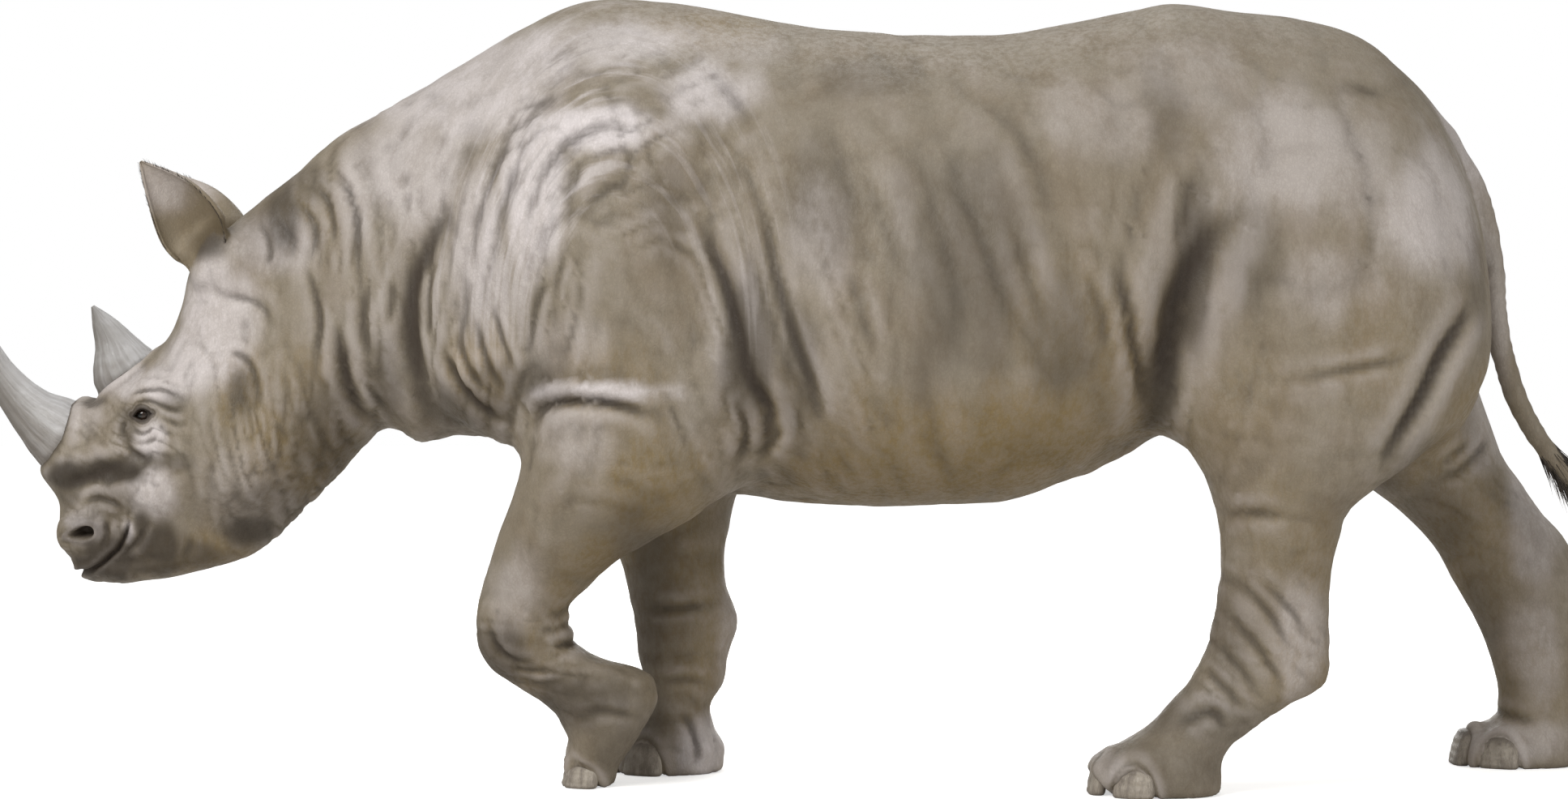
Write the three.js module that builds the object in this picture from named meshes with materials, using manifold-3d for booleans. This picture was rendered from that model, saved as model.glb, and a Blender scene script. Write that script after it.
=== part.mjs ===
// A black rhinoceros (Diceros bicornis), walking, as a still life-size model.
//
// Millimetres, +Z up. The animal faces -X and its left side faces -Y. It stands on the plane z = 0,
// and the origin is below the middle of its bounding box.
//
// The flesh is one implicit surface: stacks of rounded sections and ellipsoids, blended into each
// other. Each body part is that surface, meshed as finely as the part needs and cut out of it along
// a thin gap. Horns, ears, nails, tail and hair are lofted.

import * as THREE from 'three';
import { LoftGeometry } from 'three/addons/geometries/LoftGeometry.js';
import { mergeVertices } from 'three/addons/utils/BufferGeometryUtils.js';
import Module from 'manifold-3d';

const wasm = await Module();
wasm.setup();

// ------------------------------------------------------------------ driving sizes

const GAP = 0.3; // between neighbouring parts
const FAR = 3000; // half size of the blocks that cut a part at a plane

// Mesh size of each region of the flesh.
const RELAX_PASSES = 8; // evens out the faces
const CELL = { head: 34, neck: 66, torso: 86, leg: 60 };

// Stack along x: [x, low z, wide z, high z, middle y, half width, power below, power above].
const TRUNK = [
	[ - 1010, 725, 945, 1210, 0, 140, 2, 2 ],
	[ - 945, 648, 945, 1287, 0, 172, 2, 2 ],
	[ - 875, 690, 965, 1335, 0, 200, 2, 2 ],
	[ - 800, 722, 975, 1375, 0, 222, 2, 2 ],
	[ - 740, 692, 995, 1411, 0, 244, 2, 2 ],
	[ - 676, 716, 1025, 1449, 0, 274, 2, 2 ],
	[ - 610, 706, 1055, 1488, 0, 308, 2, 1.9 ],
	[ - 544, 694, 1065, 1528, 0, 340, 2, 1.8 ],
	[ - 411, 625, 1065, 1587, 0, 378, 2.1, 1.75 ],
	[ - 344, 603, 1055, 1593, 0, 388, 2.1, 1.75 ],
	[ - 212, 586, 1035, 1583, 0, 396, 2.1, 1.8 ],
	[ - 79, 577, 1015, 1560, 0, 408, 2.1, 1.85 ],
	[ 54, 562, 990, 1535, 0, 428, 2.1, 1.9 ],
	[ 187, 557, 975, 1522, 0, 446, 2.1, 1.95 ],
	[ 320, 558, 970, 1517, 0, 455, 2.1, 2 ],
	[ 452, 569, 975, 1521, 0, 455, 2.1, 2 ],
	[ 585, 612, 995, 1544, 0, 446, 2, 1.95 ],
	[ 718, 675, 1025, 1571, 0, 425, 2, 1.9 ],
	[ 784, 711, 1045, 1583, 0, 412, 2, 1.9 ],
	[ 917, 720, 1065, 1568, 0, 390, 2, 1.9 ],
	[ 1050, 700, 1065, 1552, 0, 366, 2, 1.95 ],
	[ 1183, 685, 1045, 1507, 0, 330, 2, 2 ],
	[ 1283, 675, 1025, 1415, 0, 285, 2, 2 ],
	[ 1349, 690, 1005, 1315, 0, 232, 2, 2 ],
	[ 1390, 730, 985, 1220, 0, 178, 2, 2 ],
	[ 1415, 785, 970, 1115, 0, 118, 2, 2 ],
	[ 1428, 865, 955, 1015, 0, 50, 2, 2 ],
];

// Stacks along z: [z, front x, wide x, rear x, middle y, half width, power front, power rear].
const HEAD = [
	[ 402, - 1416, - 1370, - 1325, 0, 22, 2, 2 ],
	[ 408, - 1428, - 1350, - 1275, 0, 54, 2, 2 ],
	[ 423, - 1436, - 1330, - 1205, 0, 78, 2.2, 2 ],
	[ 448, - 1449, - 1310, - 1112, 0, 94, 2.3, 2 ],
	[ 478, - 1470, - 1295, - 1060, 0, 103, 2.4, 2 ],
	[ 505, - 1480, - 1280, - 1026, 0, 109, 2.4, 2 ],
	[ 535, - 1481, - 1260, - 997, 0, 117, 2.3, 2 ],
	[ 564, - 1483, - 1235, - 968, 0, 128, 2.1, 2 ],
	[ 597, - 1500, - 1200, - 936, 0, 141, 1.9, 2 ],
	[ 625, - 1519, - 1170, - 912, 0, 151, 1.8, 2 ],
	[ 650, - 1517, - 1140, - 893, 0, 160, 1.75, 2 ],
	[ 694, - 1492, - 1110, - 870, 0, 169, 1.75, 2 ],
	[ 738, - 1468, - 1090, - 860, 0, 172, 1.8, 2 ],
	[ 775, - 1447, - 1075, - 855, 0, 171, 1.85, 2 ],
	[ 798, - 1408, - 1065, - 855, 0, 169, 1.9, 2 ],
	[ 825, - 1366, - 1055, - 855, 0, 166, 1.95, 2 ],
	[ 871, - 1290, - 1045, - 860, 0, 158, 2.1, 2 ],
	[ 896, - 1262, - 1040, - 865, 0, 153, 2.15, 2 ],
	[ 962, - 1232, - 1030, - 875, 0, 145, 2.2, 2 ],
	[ 1054, - 1207, - 1020, - 885, 0, 134, 2.1, 2 ],
	[ 1095, - 1170, - 1010, - 890, 0, 126, 2, 2 ],
	[ 1145, - 1113, - 1000, - 900, 0, 112, 2, 2 ],
	[ 1190, - 1055, - 990, - 910, 0, 88, 2, 2 ],
	[ 1210, - 1020, - 980, - 930, 0, 60, 2, 2 ],
];

const FORE_LEFT = [
	[ - 80, - 426, - 386, - 340, - 112, 68, 2.3, 2.3 ],
	[ 30, - 428, - 386, - 334, - 114, 74, 2.3, 2.3 ],
	[ 72, - 428, - 378, - 308, - 122, 88, 2.2, 2.2 ],
	[ 113, - 439, - 368, - 282, - 132, 92, 2.1, 2.1 ],
	[ 162, - 474, - 365, - 257, - 142, 92, 2.1, 2.1 ],
	[ 200, - 530, - 385, - 256, - 148, 90, 2.1, 2.1 ],
	[ 230, - 575, - 420, - 278, - 152, 91, 2.1, 2.1 ],
	[ 265, - 603, - 490, - 385, - 158, 93, 2.1, 2.1 ],
	[ 308, - 613, - 515, - 424, - 164, 94, 2.1, 2.1 ],
	[ 357, - 612, - 515, - 426, - 172, 96, 2.1, 2.1 ],
	[ 406, - 598, - 490, - 388, - 182, 102, 2.1, 2.1 ],
	[ 454, - 584, - 460, - 330, - 196, 112, 2.1, 2.1 ],
	[ 503, - 567, - 420, - 246, - 210, 124, 2.1, 2.1 ],
	[ 550, - 549, - 385, - 168, - 224, 136, 2.1, 2.1 ],
	[ 601, - 528, - 355, - 110, - 236, 146, 2.1, 2.1 ],
	[ 666, - 508, - 335, - 92, - 244, 154, 2.1, 2.1 ],
	[ 765, - 495, - 320, - 100, - 244, 156, 2.1, 2.1 ],
	[ 885, - 490, - 320, - 130, - 232, 158, 2, 2 ],
	[ 1035, - 450, - 310, - 170, - 210, 150, 2, 2 ],
];

const FORE_RIGHT = [
	[ - 80, - 352, - 242, - 128, 132, 112, 2.3, 2.2 ],
	[ 20, - 352, - 242, - 127, 132, 112, 2.3, 2.2 ],
	[ 52, - 340, - 238, - 126, 132, 110, 2.2, 2.2 ],
	[ 90, - 309, - 228, - 146, 134, 99, 2.1, 2.1 ],
	[ 137, - 291, - 222, - 154, 137, 89, 2.1, 2.1 ],
	[ 187, - 292, - 210, - 126, 140, 87, 2.1, 2.1 ],
	[ 238, - 304, - 211, - 117, 143, 88, 2.1, 2.1 ],
	[ 315, - 314, - 210, - 98, 148, 93, 2.1, 2.1 ],
	[ 390, - 328, - 226, - 122, 158, 100, 2.1, 2.1 ],
	[ 441, - 345, - 236, - 127, 172, 110, 2.1, 2.1 ],
	[ 525, - 385, - 252, - 114, 200, 130, 2.1, 2.1 ],
	[ 601, - 425, - 270, - 108, 226, 144, 2.1, 2.1 ],
	[ 666, - 455, - 285, - 94, 240, 152, 2.1, 2.1 ],
	[ 765, - 475, - 300, - 110, 244, 156, 2.1, 2.1 ],
	[ 885, - 475, - 310, - 140, 232, 158, 2, 2 ],
	[ 1035, - 450, - 310, - 170, 210, 150, 2, 2 ],
];

const HIND_LEFT = [
	[ - 80, 640, 750, 858, - 250, 104, 2.3, 2.3 ],
	[ 0, 640, 750, 858, - 250, 104, 2.3, 2.3 ],
	[ 28, 602, 735, 860, - 250, 106, 2.3, 2.3 ],
	[ 64, 604, 740, 862, - 250, 104, 2.3, 2.2 ],
	[ 93, 656, 765, 878, - 249, 96, 2.2, 2.2 ],
	[ 125, 708, 815, 922, - 248, 90, 2.1, 2.1 ],
	[ 173, 758, 875, 992, - 247, 84, 2.1, 2.1 ],
	[ 207, 789, 915, 1056, - 247, 83, 2.1, 2.4 ],
	[ 235, 808, 930, 1072, - 248, 84, 2.1, 2.4 ],
	[ 285, 831, 945, 1073, - 250, 88, 2.1, 2.2 ],
	[ 365, 850, 955, 1071, - 254, 96, 2.1, 2.1 ],
	[ 413, 857, 962, 1071, - 258, 102, 2.1, 2.1 ],
	[ 461, 860, 970, 1077, - 262, 112, 2.1, 2.1 ],
	[ 508, 858, 975, 1090, - 264, 122, 2.1, 2.1 ],
	[ 556, 850, 980, 1110, - 264, 134, 2.1, 2.1 ],
	[ 604, 834, 985, 1165, - 262, 148, 2.1, 2.1 ],
	[ 652, 812, 995, 1235, - 256, 160, 2.1, 2.1 ],
	[ 729, 768, 1010, 1320, - 244, 174, 2.1, 2.1 ],
	[ 835, 752, 1040, 1385, - 226, 186, 2, 2 ],
	[ 985, 790, 1070, 1385, - 204, 190, 2, 2 ],
	[ 1135, 860, 1080, 1320, - 176, 178, 2, 2 ],
	[ 1265, 940, 1080, 1230, - 140, 140, 2, 2 ],
];

const HIND_RIGHT = [
	[ - 80, 1432, 1558, 1682, 250, 104, 2.3, 2.3 ],
	[ 30, 1430, 1558, 1685, 250, 106, 2.3, 2.3 ],
	[ 56, 1448, 1568, 1690, 250, 102, 2.2, 2.2 ],
	[ 85, 1494, 1592, 1700, 249, 92, 2.1, 2.1 ],
	[ 125, 1520, 1620, 1722, 248, 85, 2.1, 2.1 ],
	[ 177, 1517, 1632, 1744, 247, 83, 2.1, 2.2 ],
	[ 229, 1503, 1630, 1750, 247, 84, 2.1, 2.2 ],
	[ 280, 1484, 1616, 1742, 248, 88, 2.1, 2.1 ],
	[ 332, 1458, 1595, 1722, 252, 96, 2.1, 2.1 ],
	[ 384, 1430, 1572, 1704, 256, 104, 2.1, 2.1 ],
	[ 435, 1405, 1545, 1682, 260, 114, 2.1, 2.1 ],
	[ 487, 1366, 1510, 1652, 262, 126, 2.1, 2.1 ],
	[ 539, 1312, 1460, 1608, 262, 138, 2.1, 2.1 ],
	[ 591, 1246, 1405, 1570, 260, 150, 2.1, 2.1 ],
	[ 645, 1160, 1340, 1530, 256, 160, 2.1, 2.1 ],
	[ 729, 1020, 1260, 1494, 244, 174, 2.1, 2.1 ],
	[ 835, 900, 1180, 1456, 226, 186, 2, 2 ],
	[ 985, 860, 1120, 1400, 204, 190, 2, 2 ],
	[ 1135, 880, 1090, 1320, 176, 178, 2, 2 ],
	[ 1265, 940, 1080, 1230, 140, 140, 2, 2 ],
];

// Muscles, bosses and lips: [x, |y|, z, radius x, radius y, radius z, tilt in degrees, blend].
const HEAD_MASSES = [
	[ - 1120, 112, 685, 95, 66, 120, 20, 60 ], // chewing muscle
	[ - 1195, 118, 775, 100, 40, 34, 50, 40 ], // cheekbone
	[ - 1268, 112, 791, 46, 30, 24, 20, 26 ], // brow
	[ - 1440, 0, 685, 70, 74, 86, - 25, 40 ], // boss of the front horn
	[ - 1330, 0, 827, 76, 66, 50, - 35, 34 ], // boss of the rear horn
	[ - 1420, 62, 507, 46, 34, 44, 0, 26 ], // side of the nose
	[ - 1412, 38, 453, 34, 54, 34, 0, 22 ], // upper lip
	[ - 1352, 40, 431, 56, 52, 26, - 12, 20 ], // lower lip
	[ - 1120, 96, 1060, 62, 44, 58, 0, 40 ], // root of the ear
];
const TRUNK_MASSES = [
	[ - 330, 230, 1115, 190, 150, 300, - 14, 120 ], // shoulder blade
	[ - 560, 190, 845, 120, 120, 150, 20, 100 ], // point of the shoulder
	[ - 690, 60, 800, 110, 90, 80, 0, 80 ], // brisket
	[ 250, 250, 845, 420, 190, 240, 0, 120 ], // belly
];

const BLEND = { head: 70, fore: 90, hind: 110 };

const EYE = { x: - 1285, y: 121, z: 744, ball: 20, lid: 24.5, slitLength: 35, slitHeight: 19, tilt: - 8 };
const NOSTRIL = { x: - 1428, y: 84, z: 503, long: 25, wide: 18, deep: 30, tilt: - 20 };
const MOUTH = { line: [ [ - 1470, 413 ], [ - 1433, 424 ], [ - 1399, 430 ], [ - 1364, 456 ], [ - 1337, 482 ],
	[ - 1319, 513 ], [ - 1313, 541 ] ], height: 5, half: 200, steps: 13 };

// The profiles run from 0 at the ear's root to 1 at its tip.
const EAR = {
	root: [ - 1143, 92, 1026 ], tip: [ - 1284, 168, 1250 ], out: [ - 0.28, 1, - 0.12 ],
	wall: 7, steps: 10, sides: 8, opening: 105,
	half: [ [ 0, 42 ], [ 0.15, 54 ], [ 0.35, 72 ], [ 0.55, 66 ], [ 0.75, 46 ], [ 0.9, 22 ], [ 1, 3 ] ],
	lean: [ [ 0, 0 ], [ 0.35, - 10 ], [ 0.7, - 14 ], [ 1, 0 ] ],
	depth: [ [ 0, 44 ], [ 0.3, 46 ], [ 0.7, 26 ], [ 1, 4 ] ],
	hollow: { from: 0.08, to: 0.4 },
};

// Sweeps in the side view: [x, z, half height across the path, half width].
const HORN_FRONT = {
	rows: [ [ - 1420, 664, 72, 66 ], [ - 1485, 709, 72, 66 ], [ - 1547, 759, 48, 47 ], [ - 1604, 827, 33, 33 ],
		[ - 1651, 905, 27, 26 ], [ - 1688, 985, 16, 16 ], [ - 1710, 1055, 4, 4 ] ],
	steps: 14, sides: 12,
};
const HORN_REAR = {
	rows: [ [ - 1318, 790, 70, 58 ], [ - 1348, 838, 69, 56 ], [ - 1374, 895, 40, 33 ], [ - 1397, 935, 22, 18 ],
		[ - 1416, 966, 4, 4 ] ],
	steps: 10, sides: 12,
};
const TAIL = {
	rows: [ [ 1120, 1490, 40, 58 ], [ 1241, 1419, 44, 56 ], [ 1319, 1333, 45, 50 ], [ 1374, 1252, 40, 43 ],
		[ 1418, 1170, 33, 35 ], [ 1450, 1046, 25, 27 ], [ 1458, 946, 23, 24 ], [ 1478, 846, 22, 22 ],
		[ 1514, 747, 21, 20 ], [ 1580, 648, 18, 17 ], [ 1634, 580, 16, 14 ] ],
	steps: 24, sides: 9,
};
const TUFT = { length: 190, locks: 16, lock: [ 92, 15, 4 ], core: 0.5, seed: 11 };

// Nails: [angle from straight ahead in degrees, width, height] on a foot.
const NAILS = [ [ 0, 92, 66 ], [ - 62, 74, 58 ], [ 62, 74, 58 ] ];
const NAIL_NAMES = [ 'middle', 'left', 'right' ];
const NAIL_DEPTH = 17;

// Foot at the floor: [middle x, middle y, reach forward, reach sideways, share of the nail size].
const FEET = {
	front_left: [ - 385, - 112, 42, 70, 0.8 ],
	front_right: [ - 242, 132, 108, 108, 1 ],
	hind_left: [ 735, - 250, 124, 102, 0.95 ],
	hind_right: [ 1558, 250, 126, 102, 0.95 ],
};

// Cutting planes and arches that part the nodes, all in the side view.
const PLANE = {
	head: { through: [ - 1033, 1203 ], to: [ - 900, 597 ] },
	neck: { through: [ - 627, 1494 ], to: [ - 751, 689 ] },
};
const ARCH = {
	fore: { middle: - 290, half: 262, floor: 545, rise: 262, reach: [ - 760, 110 ], foot: [ - 760, 110 ] },
	hind: { middle: 1085, half: 345, floor: 683, rise: 235, reach: [ 748, 1980 ], foot: [ 560, 1980 ] },
};
const ARCH_FULL_AT = 400; // distance from the middle at which an arch has its full height
const ARCH_OUT = 600;
const ARCH_STEPS = 16;
const ARCH_SHOULDER = 4; // how far below its floor the arch widens to its reach
const ANKLE_DROP = 180; // how far below the arch's floor it widens to the foot's reach
const BELOW_GROUND = - 200;

// The grids that the flesh is meshed in: two opposite corners.
const GRID = {
	head: [ [ - 1600, - 260, 380 ], [ - 820, 260, 1300 ] ],
	neck: [ [ - 1180, - 420, 560 ], [ - 480, 420, 1640 ] ],
	torso: [ [ - 900, - 520, 500 ], [ 1600, 520, 1700 ] ],
};
const LEG_GRID = { margin: 40, outer: 480, inner: 60, below: 60 };

const COLOUR = {
	hide: 0x9a9088, neck: 0xa39b96, leg: 0x877c6d, horn: 0xa9a9ad, nail: 0x8f877b, eye: 0x1c1511,
	ear: 0x8e897d, tail: 0x857a6c, hair: 0x2f2822,
};

// ------------------------------------------------------------------ the implicit flesh

const clamp = THREE.MathUtils.clamp;
const lerp = THREE.MathUtils.lerp;

// Rounded sections stacked along an axis, each a superellipse with its own radius on every side.
function stack( along, rows ) {

	const spline = new THREE.CubicInterpolant( rows.map( row => row[ 0 ] ), rows.flatMap( row => row.slice( 1 ) ), 7 );
	const start = rows[ 0 ][ 0 ];
	const end = rows[ rows.length - 1 ][ 0 ];
	return ( x, y, z ) => {

		const [ t, v ] = along === 'x' ? [ x, z ] : [ z, x ];
		const [ low, wide, high, middle, half, powerLow, powerHigh ] = spline.evaluate( clamp( t, start, end ) );
		const above = v > wide;
		const reach = Math.max( above ? high - wide : wide - low, 1 );
		const power = above ? powerHigh : powerLow;
		const a = Math.abs( v - wide ) / reach;
		const b = Math.abs( y - middle ) / half;
		const level = Math.max( Math.pow( a ** power + b ** power, 1 / power ), 1e-6 );
		const slope = Math.hypot( a ** ( power - 1 ) / reach, b ** ( power - 1 ) / half ) * level ** ( 1 - power );
		const across = ( level - 1 ) / slope;
		const beyond = Math.max( start - t, t - end );
		return beyond > 0 ? Math.hypot( Math.max( across, 0 ), beyond ) : Math.max( across, beyond );

	};

}

// A pair of ellipsoids, one on each side, turned in the side view.
function pair( [ cx, cy, cz, rx, ry, rz, tilt ] ) {

	const c = Math.cos( THREE.MathUtils.degToRad( tilt ) );
	const s = Math.sin( THREE.MathUtils.degToRad( tilt ) );
	return ( x, y, z ) => {

		const dx = x - cx;
		const dz = z - cz;
		const u = dx * c + dz * s;
		const v = Math.abs( y ) - cy;
		const w = dz * c - dx * s;
		const level = Math.hypot( u / rx, v / ry, w / rz );
		const slope = Math.hypot( u / rx ** 2, v / ry ** 2, w / rz ** 2 );
		return slope > 0 ? level * ( level - 1 ) / slope : - Math.min( rx, ry, rz );

	};

}

// The nearer of two distances, rounded off where they are within the blend of each other.
function blended( a, b, width ) {

	const h = Math.max( width - Math.abs( a - b ), 0 ) / width;
	return Math.min( a, b ) - h * h * width / 4;

}

function withMasses( base, masses ) {

	const parts = masses.map( row => ( { distance: pair( row ), blend: row[ 7 ] } ) );
	return ( x, y, z ) => parts.reduce( ( d, part ) => blended( d, part.distance( x, y, z ), part.blend ),
		base( x, y, z ) );

}

const trunk = withMasses( stack( 'x', TRUNK ), TRUNK_MASSES );
const head = withMasses( stack( 'z', HEAD ), HEAD_MASSES );
const core = ( x, y, z ) => blended( trunk( x, y, z ), head( x, y, z ), BLEND.head );
const legs = [
	{ name: 'front_left', side: - 1, distance: stack( 'z', FORE_LEFT ), blend: BLEND.fore, arch: ARCH.fore },
	{ name: 'front_right', side: 1, distance: stack( 'z', FORE_RIGHT ), blend: BLEND.fore, arch: ARCH.fore },
	{ name: 'hind_left', side: - 1, distance: stack( 'z', HIND_LEFT ), blend: BLEND.hind, arch: ARCH.hind },
	{ name: 'hind_right', side: 1, distance: stack( 'z', HIND_RIGHT ), blend: BLEND.hind, arch: ARCH.hind },
];

function body( x, y, z ) {

	const base = core( x, y, z );
	let nearest = base;
	for ( const leg of legs ) {

		if ( Math.sign( y ) === - leg.side && Math.abs( y ) > 260 ) continue;
		nearest = Math.min( nearest, blended( base, leg.distance( x, y, z ), leg.blend ) );

	}

	return nearest;

}

// ------------------------------------------------------------------ from field to closed mesh

// Surface nets: one vertex in each cell that the surface passes, one face across each edge it cuts.
// The vertices are then moved onto the surface. Where the flesh leaves the box, the box closes it.
function netOf( field, low, high, cell ) {

	const count = [ 0, 1, 2 ].map( k => Math.ceil( ( high[ k ] - low[ k ] ) / cell ) + 3 );
	const at = ( i, k ) => low[ k ] + ( i - 1 ) * cell;
	const inBox = ( x, y, z ) => Math.max( low[ 0 ] - x, x - high[ 0 ], low[ 1 ] - y, y - high[ 1 ],
		low[ 2 ] - z, z - high[ 2 ] );
	const closed = ( x, y, z ) => Math.max( field( x, y, z ), inBox( x, y, z ) );
	const index = ( i, j, k ) => i + count[ 0 ] * ( j + count[ 1 ] * k );
	const value = new Float64Array( count[ 0 ] * count[ 1 ] * count[ 2 ] );
	for ( let k = 0; k < count[ 2 ]; k ++ )
		for ( let j = 0; j < count[ 1 ]; j ++ )
			for ( let i = 0; i < count[ 0 ]; i ++ )
				value[ index( i, j, k ) ] = closed( at( i, 0 ), at( j, 1 ), at( k, 2 ) );

	while ( untwist( value, count, index ) );

	const vertexOf = new Map();
	const points = [];
	for ( let k = 0; k < count[ 2 ] - 1; k ++ )
		for ( let j = 0; j < count[ 1 ] - 1; j ++ )
			for ( let i = 0; i < count[ 0 ] - 1; i ++ ) {

				const middle = cellPoint( value, index, i, j, k );
				if ( ! middle ) continue;
				vertexOf.set( index( i, j, k ), points.length );
				points.push( [ at( i + middle[ 0 ], 0 ), at( j + middle[ 1 ], 1 ), at( k + middle[ 2 ], 2 ) ] );

			}

	const quads = [];
	for ( let k = 1; k < count[ 2 ] - 1; k ++ )
		for ( let j = 1; j < count[ 1 ] - 1; j ++ )
			for ( let i = 1; i < count[ 0 ] - 1; i ++ )
				for ( let axis = 0; axis < 3; axis ++ ) {

					const [ a, b, c ] = STEPS[ axis ];
					const here = value[ index( i, j, k ) ] < 0;
					const there = value[ index( i + a, j + b, k + c ) ] < 0;
					if ( here === there ) continue;
					const [ d, e, f ] = STEPS[ ( axis + 1 ) % 3 ];
					const [ g, h, m ] = STEPS[ ( axis + 2 ) % 3 ];
					const ring = [
						index( i, j, k ), index( i - d, j - e, k - f ),
						index( i - d - g, j - e - h, k - f - m ), index( i - g, j - h, k - m ),
					].map( cellIndex => vertexOf.get( cellIndex ) );
					if ( ! here ) ring.reverse();
					quads.push( ring );

				}

	for ( let pass = 0; pass < RELAX_PASSES; pass ++ ) {

		relax( points, quads );
		points.forEach( point => settle( closed, point, 1 ) );

	}

	points.forEach( point => settle( closed, point, 3 ) );

	return geometryOf( points, triangulated( points, quads ) );

}

const STEPS = [ [ 1, 0, 0 ], [ 0, 1, 0 ], [ 0, 0, 1 ] ];

// A grid face whose corners lie in, out, in, out would pinch the surface, so the corner that is
// nearest to the surface changes sides. Says whether it found one.
function untwist( value, count, index ) {

	let found = false;
	for ( let k = 0; k < count[ 2 ] - 1; k ++ )
		for ( let j = 0; j < count[ 1 ] - 1; j ++ )
			for ( let i = 0; i < count[ 0 ] - 1; i ++ )
				for ( let axis = 0; axis < 3; axis ++ ) {

					const [ a, b, c ] = STEPS[ axis ];
					const [ d, e, f ] = STEPS[ ( axis + 1 ) % 3 ];
					const face = [ index( i, j, k ), index( i + a, j + b, k + c ),
						index( i + a + d, j + b + e, k + c + f ), index( i + d, j + e, k + f ) ];
					const inside = face.map( n => value[ n ] < 0 );
					if ( inside[ 0 ] !== inside[ 2 ] || inside[ 1 ] !== inside[ 3 ] || inside[ 0 ] === inside[ 1 ] ) continue;
					const nearest = face.reduce( ( p, q ) => Math.abs( value[ q ] ) < Math.abs( value[ p ] ) ? q : p );
					value[ nearest ] = value[ nearest ] < 0 ? 1e-3 : - 1e-3;
					found = true;

				}

	return found;

}

// The mean of the points where the surface crosses the edges of one cell, in cell units.
function cellPoint( value, index, i, j, k ) {

	const corner = n => value[ index( i + ( n & 1 ), j + ( n >> 1 & 1 ), k + ( n >> 2 & 1 ) ) ];
	const sum = [ 0, 0, 0 ];
	let crossings = 0;
	for ( let n = 0; n < 8; n ++ )
		for ( let axis = 0; axis < 3; axis ++ ) {

			const m = n | 1 << axis;
			if ( m === n || corner( n ) < 0 === corner( m ) < 0 ) continue;
			const share = corner( n ) / ( corner( n ) - corner( m ) );
			for ( let q = 0; q < 3; q ++ ) sum[ q ] += q === axis ? share : n >> q & 1;
			crossings ++;

		}

	return crossings ? sum.map( s => s / crossings ) : null;

}

// Moves each vertex half way to the mean of its neighbours.
function relax( points, quads ) {

	const sums = points.map( () => [ 0, 0, 0, 0 ] );
	for ( const quad of quads )
		quad.forEach( ( vertex, n ) => {

			const next = points[ quad[ ( n + 1 ) % 4 ] ];
			const sum = sums[ vertex ];
			for ( let q = 0; q < 3; q ++ ) sum[ q ] += next[ q ];
			sum[ 3 ] ++;

		} );
	points.forEach( ( point, n ) => {

		for ( let q = 0; q < 3; q ++ ) point[ q ] = ( point[ q ] + sums[ n ][ q ] / sums[ n ][ 3 ] ) / 2;

	} );

}

// Newton steps along the slope of the field.
function settle( field, point, passes ) {

	const e = 0.5;
	for ( let pass = 0; pass < passes; pass ++ ) {

		const [ x, y, z ] = point;
		const d = field( x, y, z );
		const slope = [
			( field( x + e, y, z ) - field( x - e, y, z ) ) / ( 2 * e ),
			( field( x, y + e, z ) - field( x, y - e, z ) ) / ( 2 * e ),
			( field( x, y, z + e ) - field( x, y, z - e ) ) / ( 2 * e ),
		];
		const steep = Math.max( slope[ 0 ] ** 2 + slope[ 1 ] ** 2 + slope[ 2 ] ** 2, 0.1 );
		const move = clamp( d / steep, - 12, 12 );
		for ( let q = 0; q < 3; q ++ ) point[ q ] -= move * slope[ q ];

	}

}

// Two triangles across the shorter diagonal of each quad, unless that line is an edge already.
function triangulated( points, quads ) {

	const key = ( p, q ) => Math.min( p, q ) * points.length + Math.max( p, q );
	const length = ( p, q ) => Math.hypot( ...points[ p ].map( ( value, n ) => value - points[ q ][ n ] ) );
	const used = new Set( quads.flatMap( quad => quad.map( ( p, n ) => key( p, quad[ ( n + 1 ) % 4 ] ) ) ) );
	return quads.flatMap( ( [ a, b, c, d ] ) => {

		const cross = used.has( key( b, d ) ) || length( a, c ) < length( b, d ) && ! used.has( key( a, c ) );
		used.add( cross ? key( a, c ) : key( b, d ) );
		return cross ? [ [ a, b, c ], [ a, c, d ] ] : [ [ a, b, d ], [ b, c, d ] ];

	} );

}

function geometryOf( points, faces ) {

	const geometry = new THREE.BufferGeometry();
	geometry.setAttribute( 'position', new THREE.Float32BufferAttribute( points.flat(), 3 ) );
	geometry.setIndex( faces.flat() );
	return geometry;

}

// ------------------------------------------------------------------ solids

function solidOf( geometry ) {

	const bare = new THREE.BufferGeometry().setAttribute( 'position', geometry.getAttribute( 'position' ) );
	const merged = mergeVertices( bare.setIndex( geometry.index ), 1e-3 );
	const make = triVerts => new wasm.Manifold( new wasm.Mesh( {
		numProp: 3, vertProperties: merged.attributes.position.array, triVerts,
	} ) );
	const triVerts = new Uint32Array( merged.index.array );
	const solid = make( triVerts );
	return solid.volume() >= 0 ? solid : make( triVerts.reverse() );

}

function largest( solid ) {

	return solid.decompose().reduce( ( best, piece ) => piece.volume() > best.volume() ? piece : best );

}

function meshOf( name, solid, colour, roughness = 0.85 ) {

	const { numProp, vertProperties, triVerts } = largest( solid ).getMesh();
	const points = [];
	for ( let i = 0; i < vertProperties.length; i += numProp ) points.push( [ ...vertProperties.slice( i, i + 3 ) ] );
	const geometry = geometryOf( points, [ [ ...triVerts ] ] );
	geometry.computeVertexNormals();
	const material = new THREE.MeshStandardMaterial( { color: colour, roughness, metalness: 0 } );
	const mesh = new THREE.Mesh( geometry, material );
	mesh.name = name;
	return mesh;

}

function moved( geometry, x, y, z ) {

	return geometry.translate( x, y, z );

}

function ball( x, y, z, rx, ry, rz, around = 18, down = 12 ) {

	return moved( new THREE.SphereGeometry( 1, around, down ).scale( rx, ry, rz ), x, y, z );

}

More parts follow.
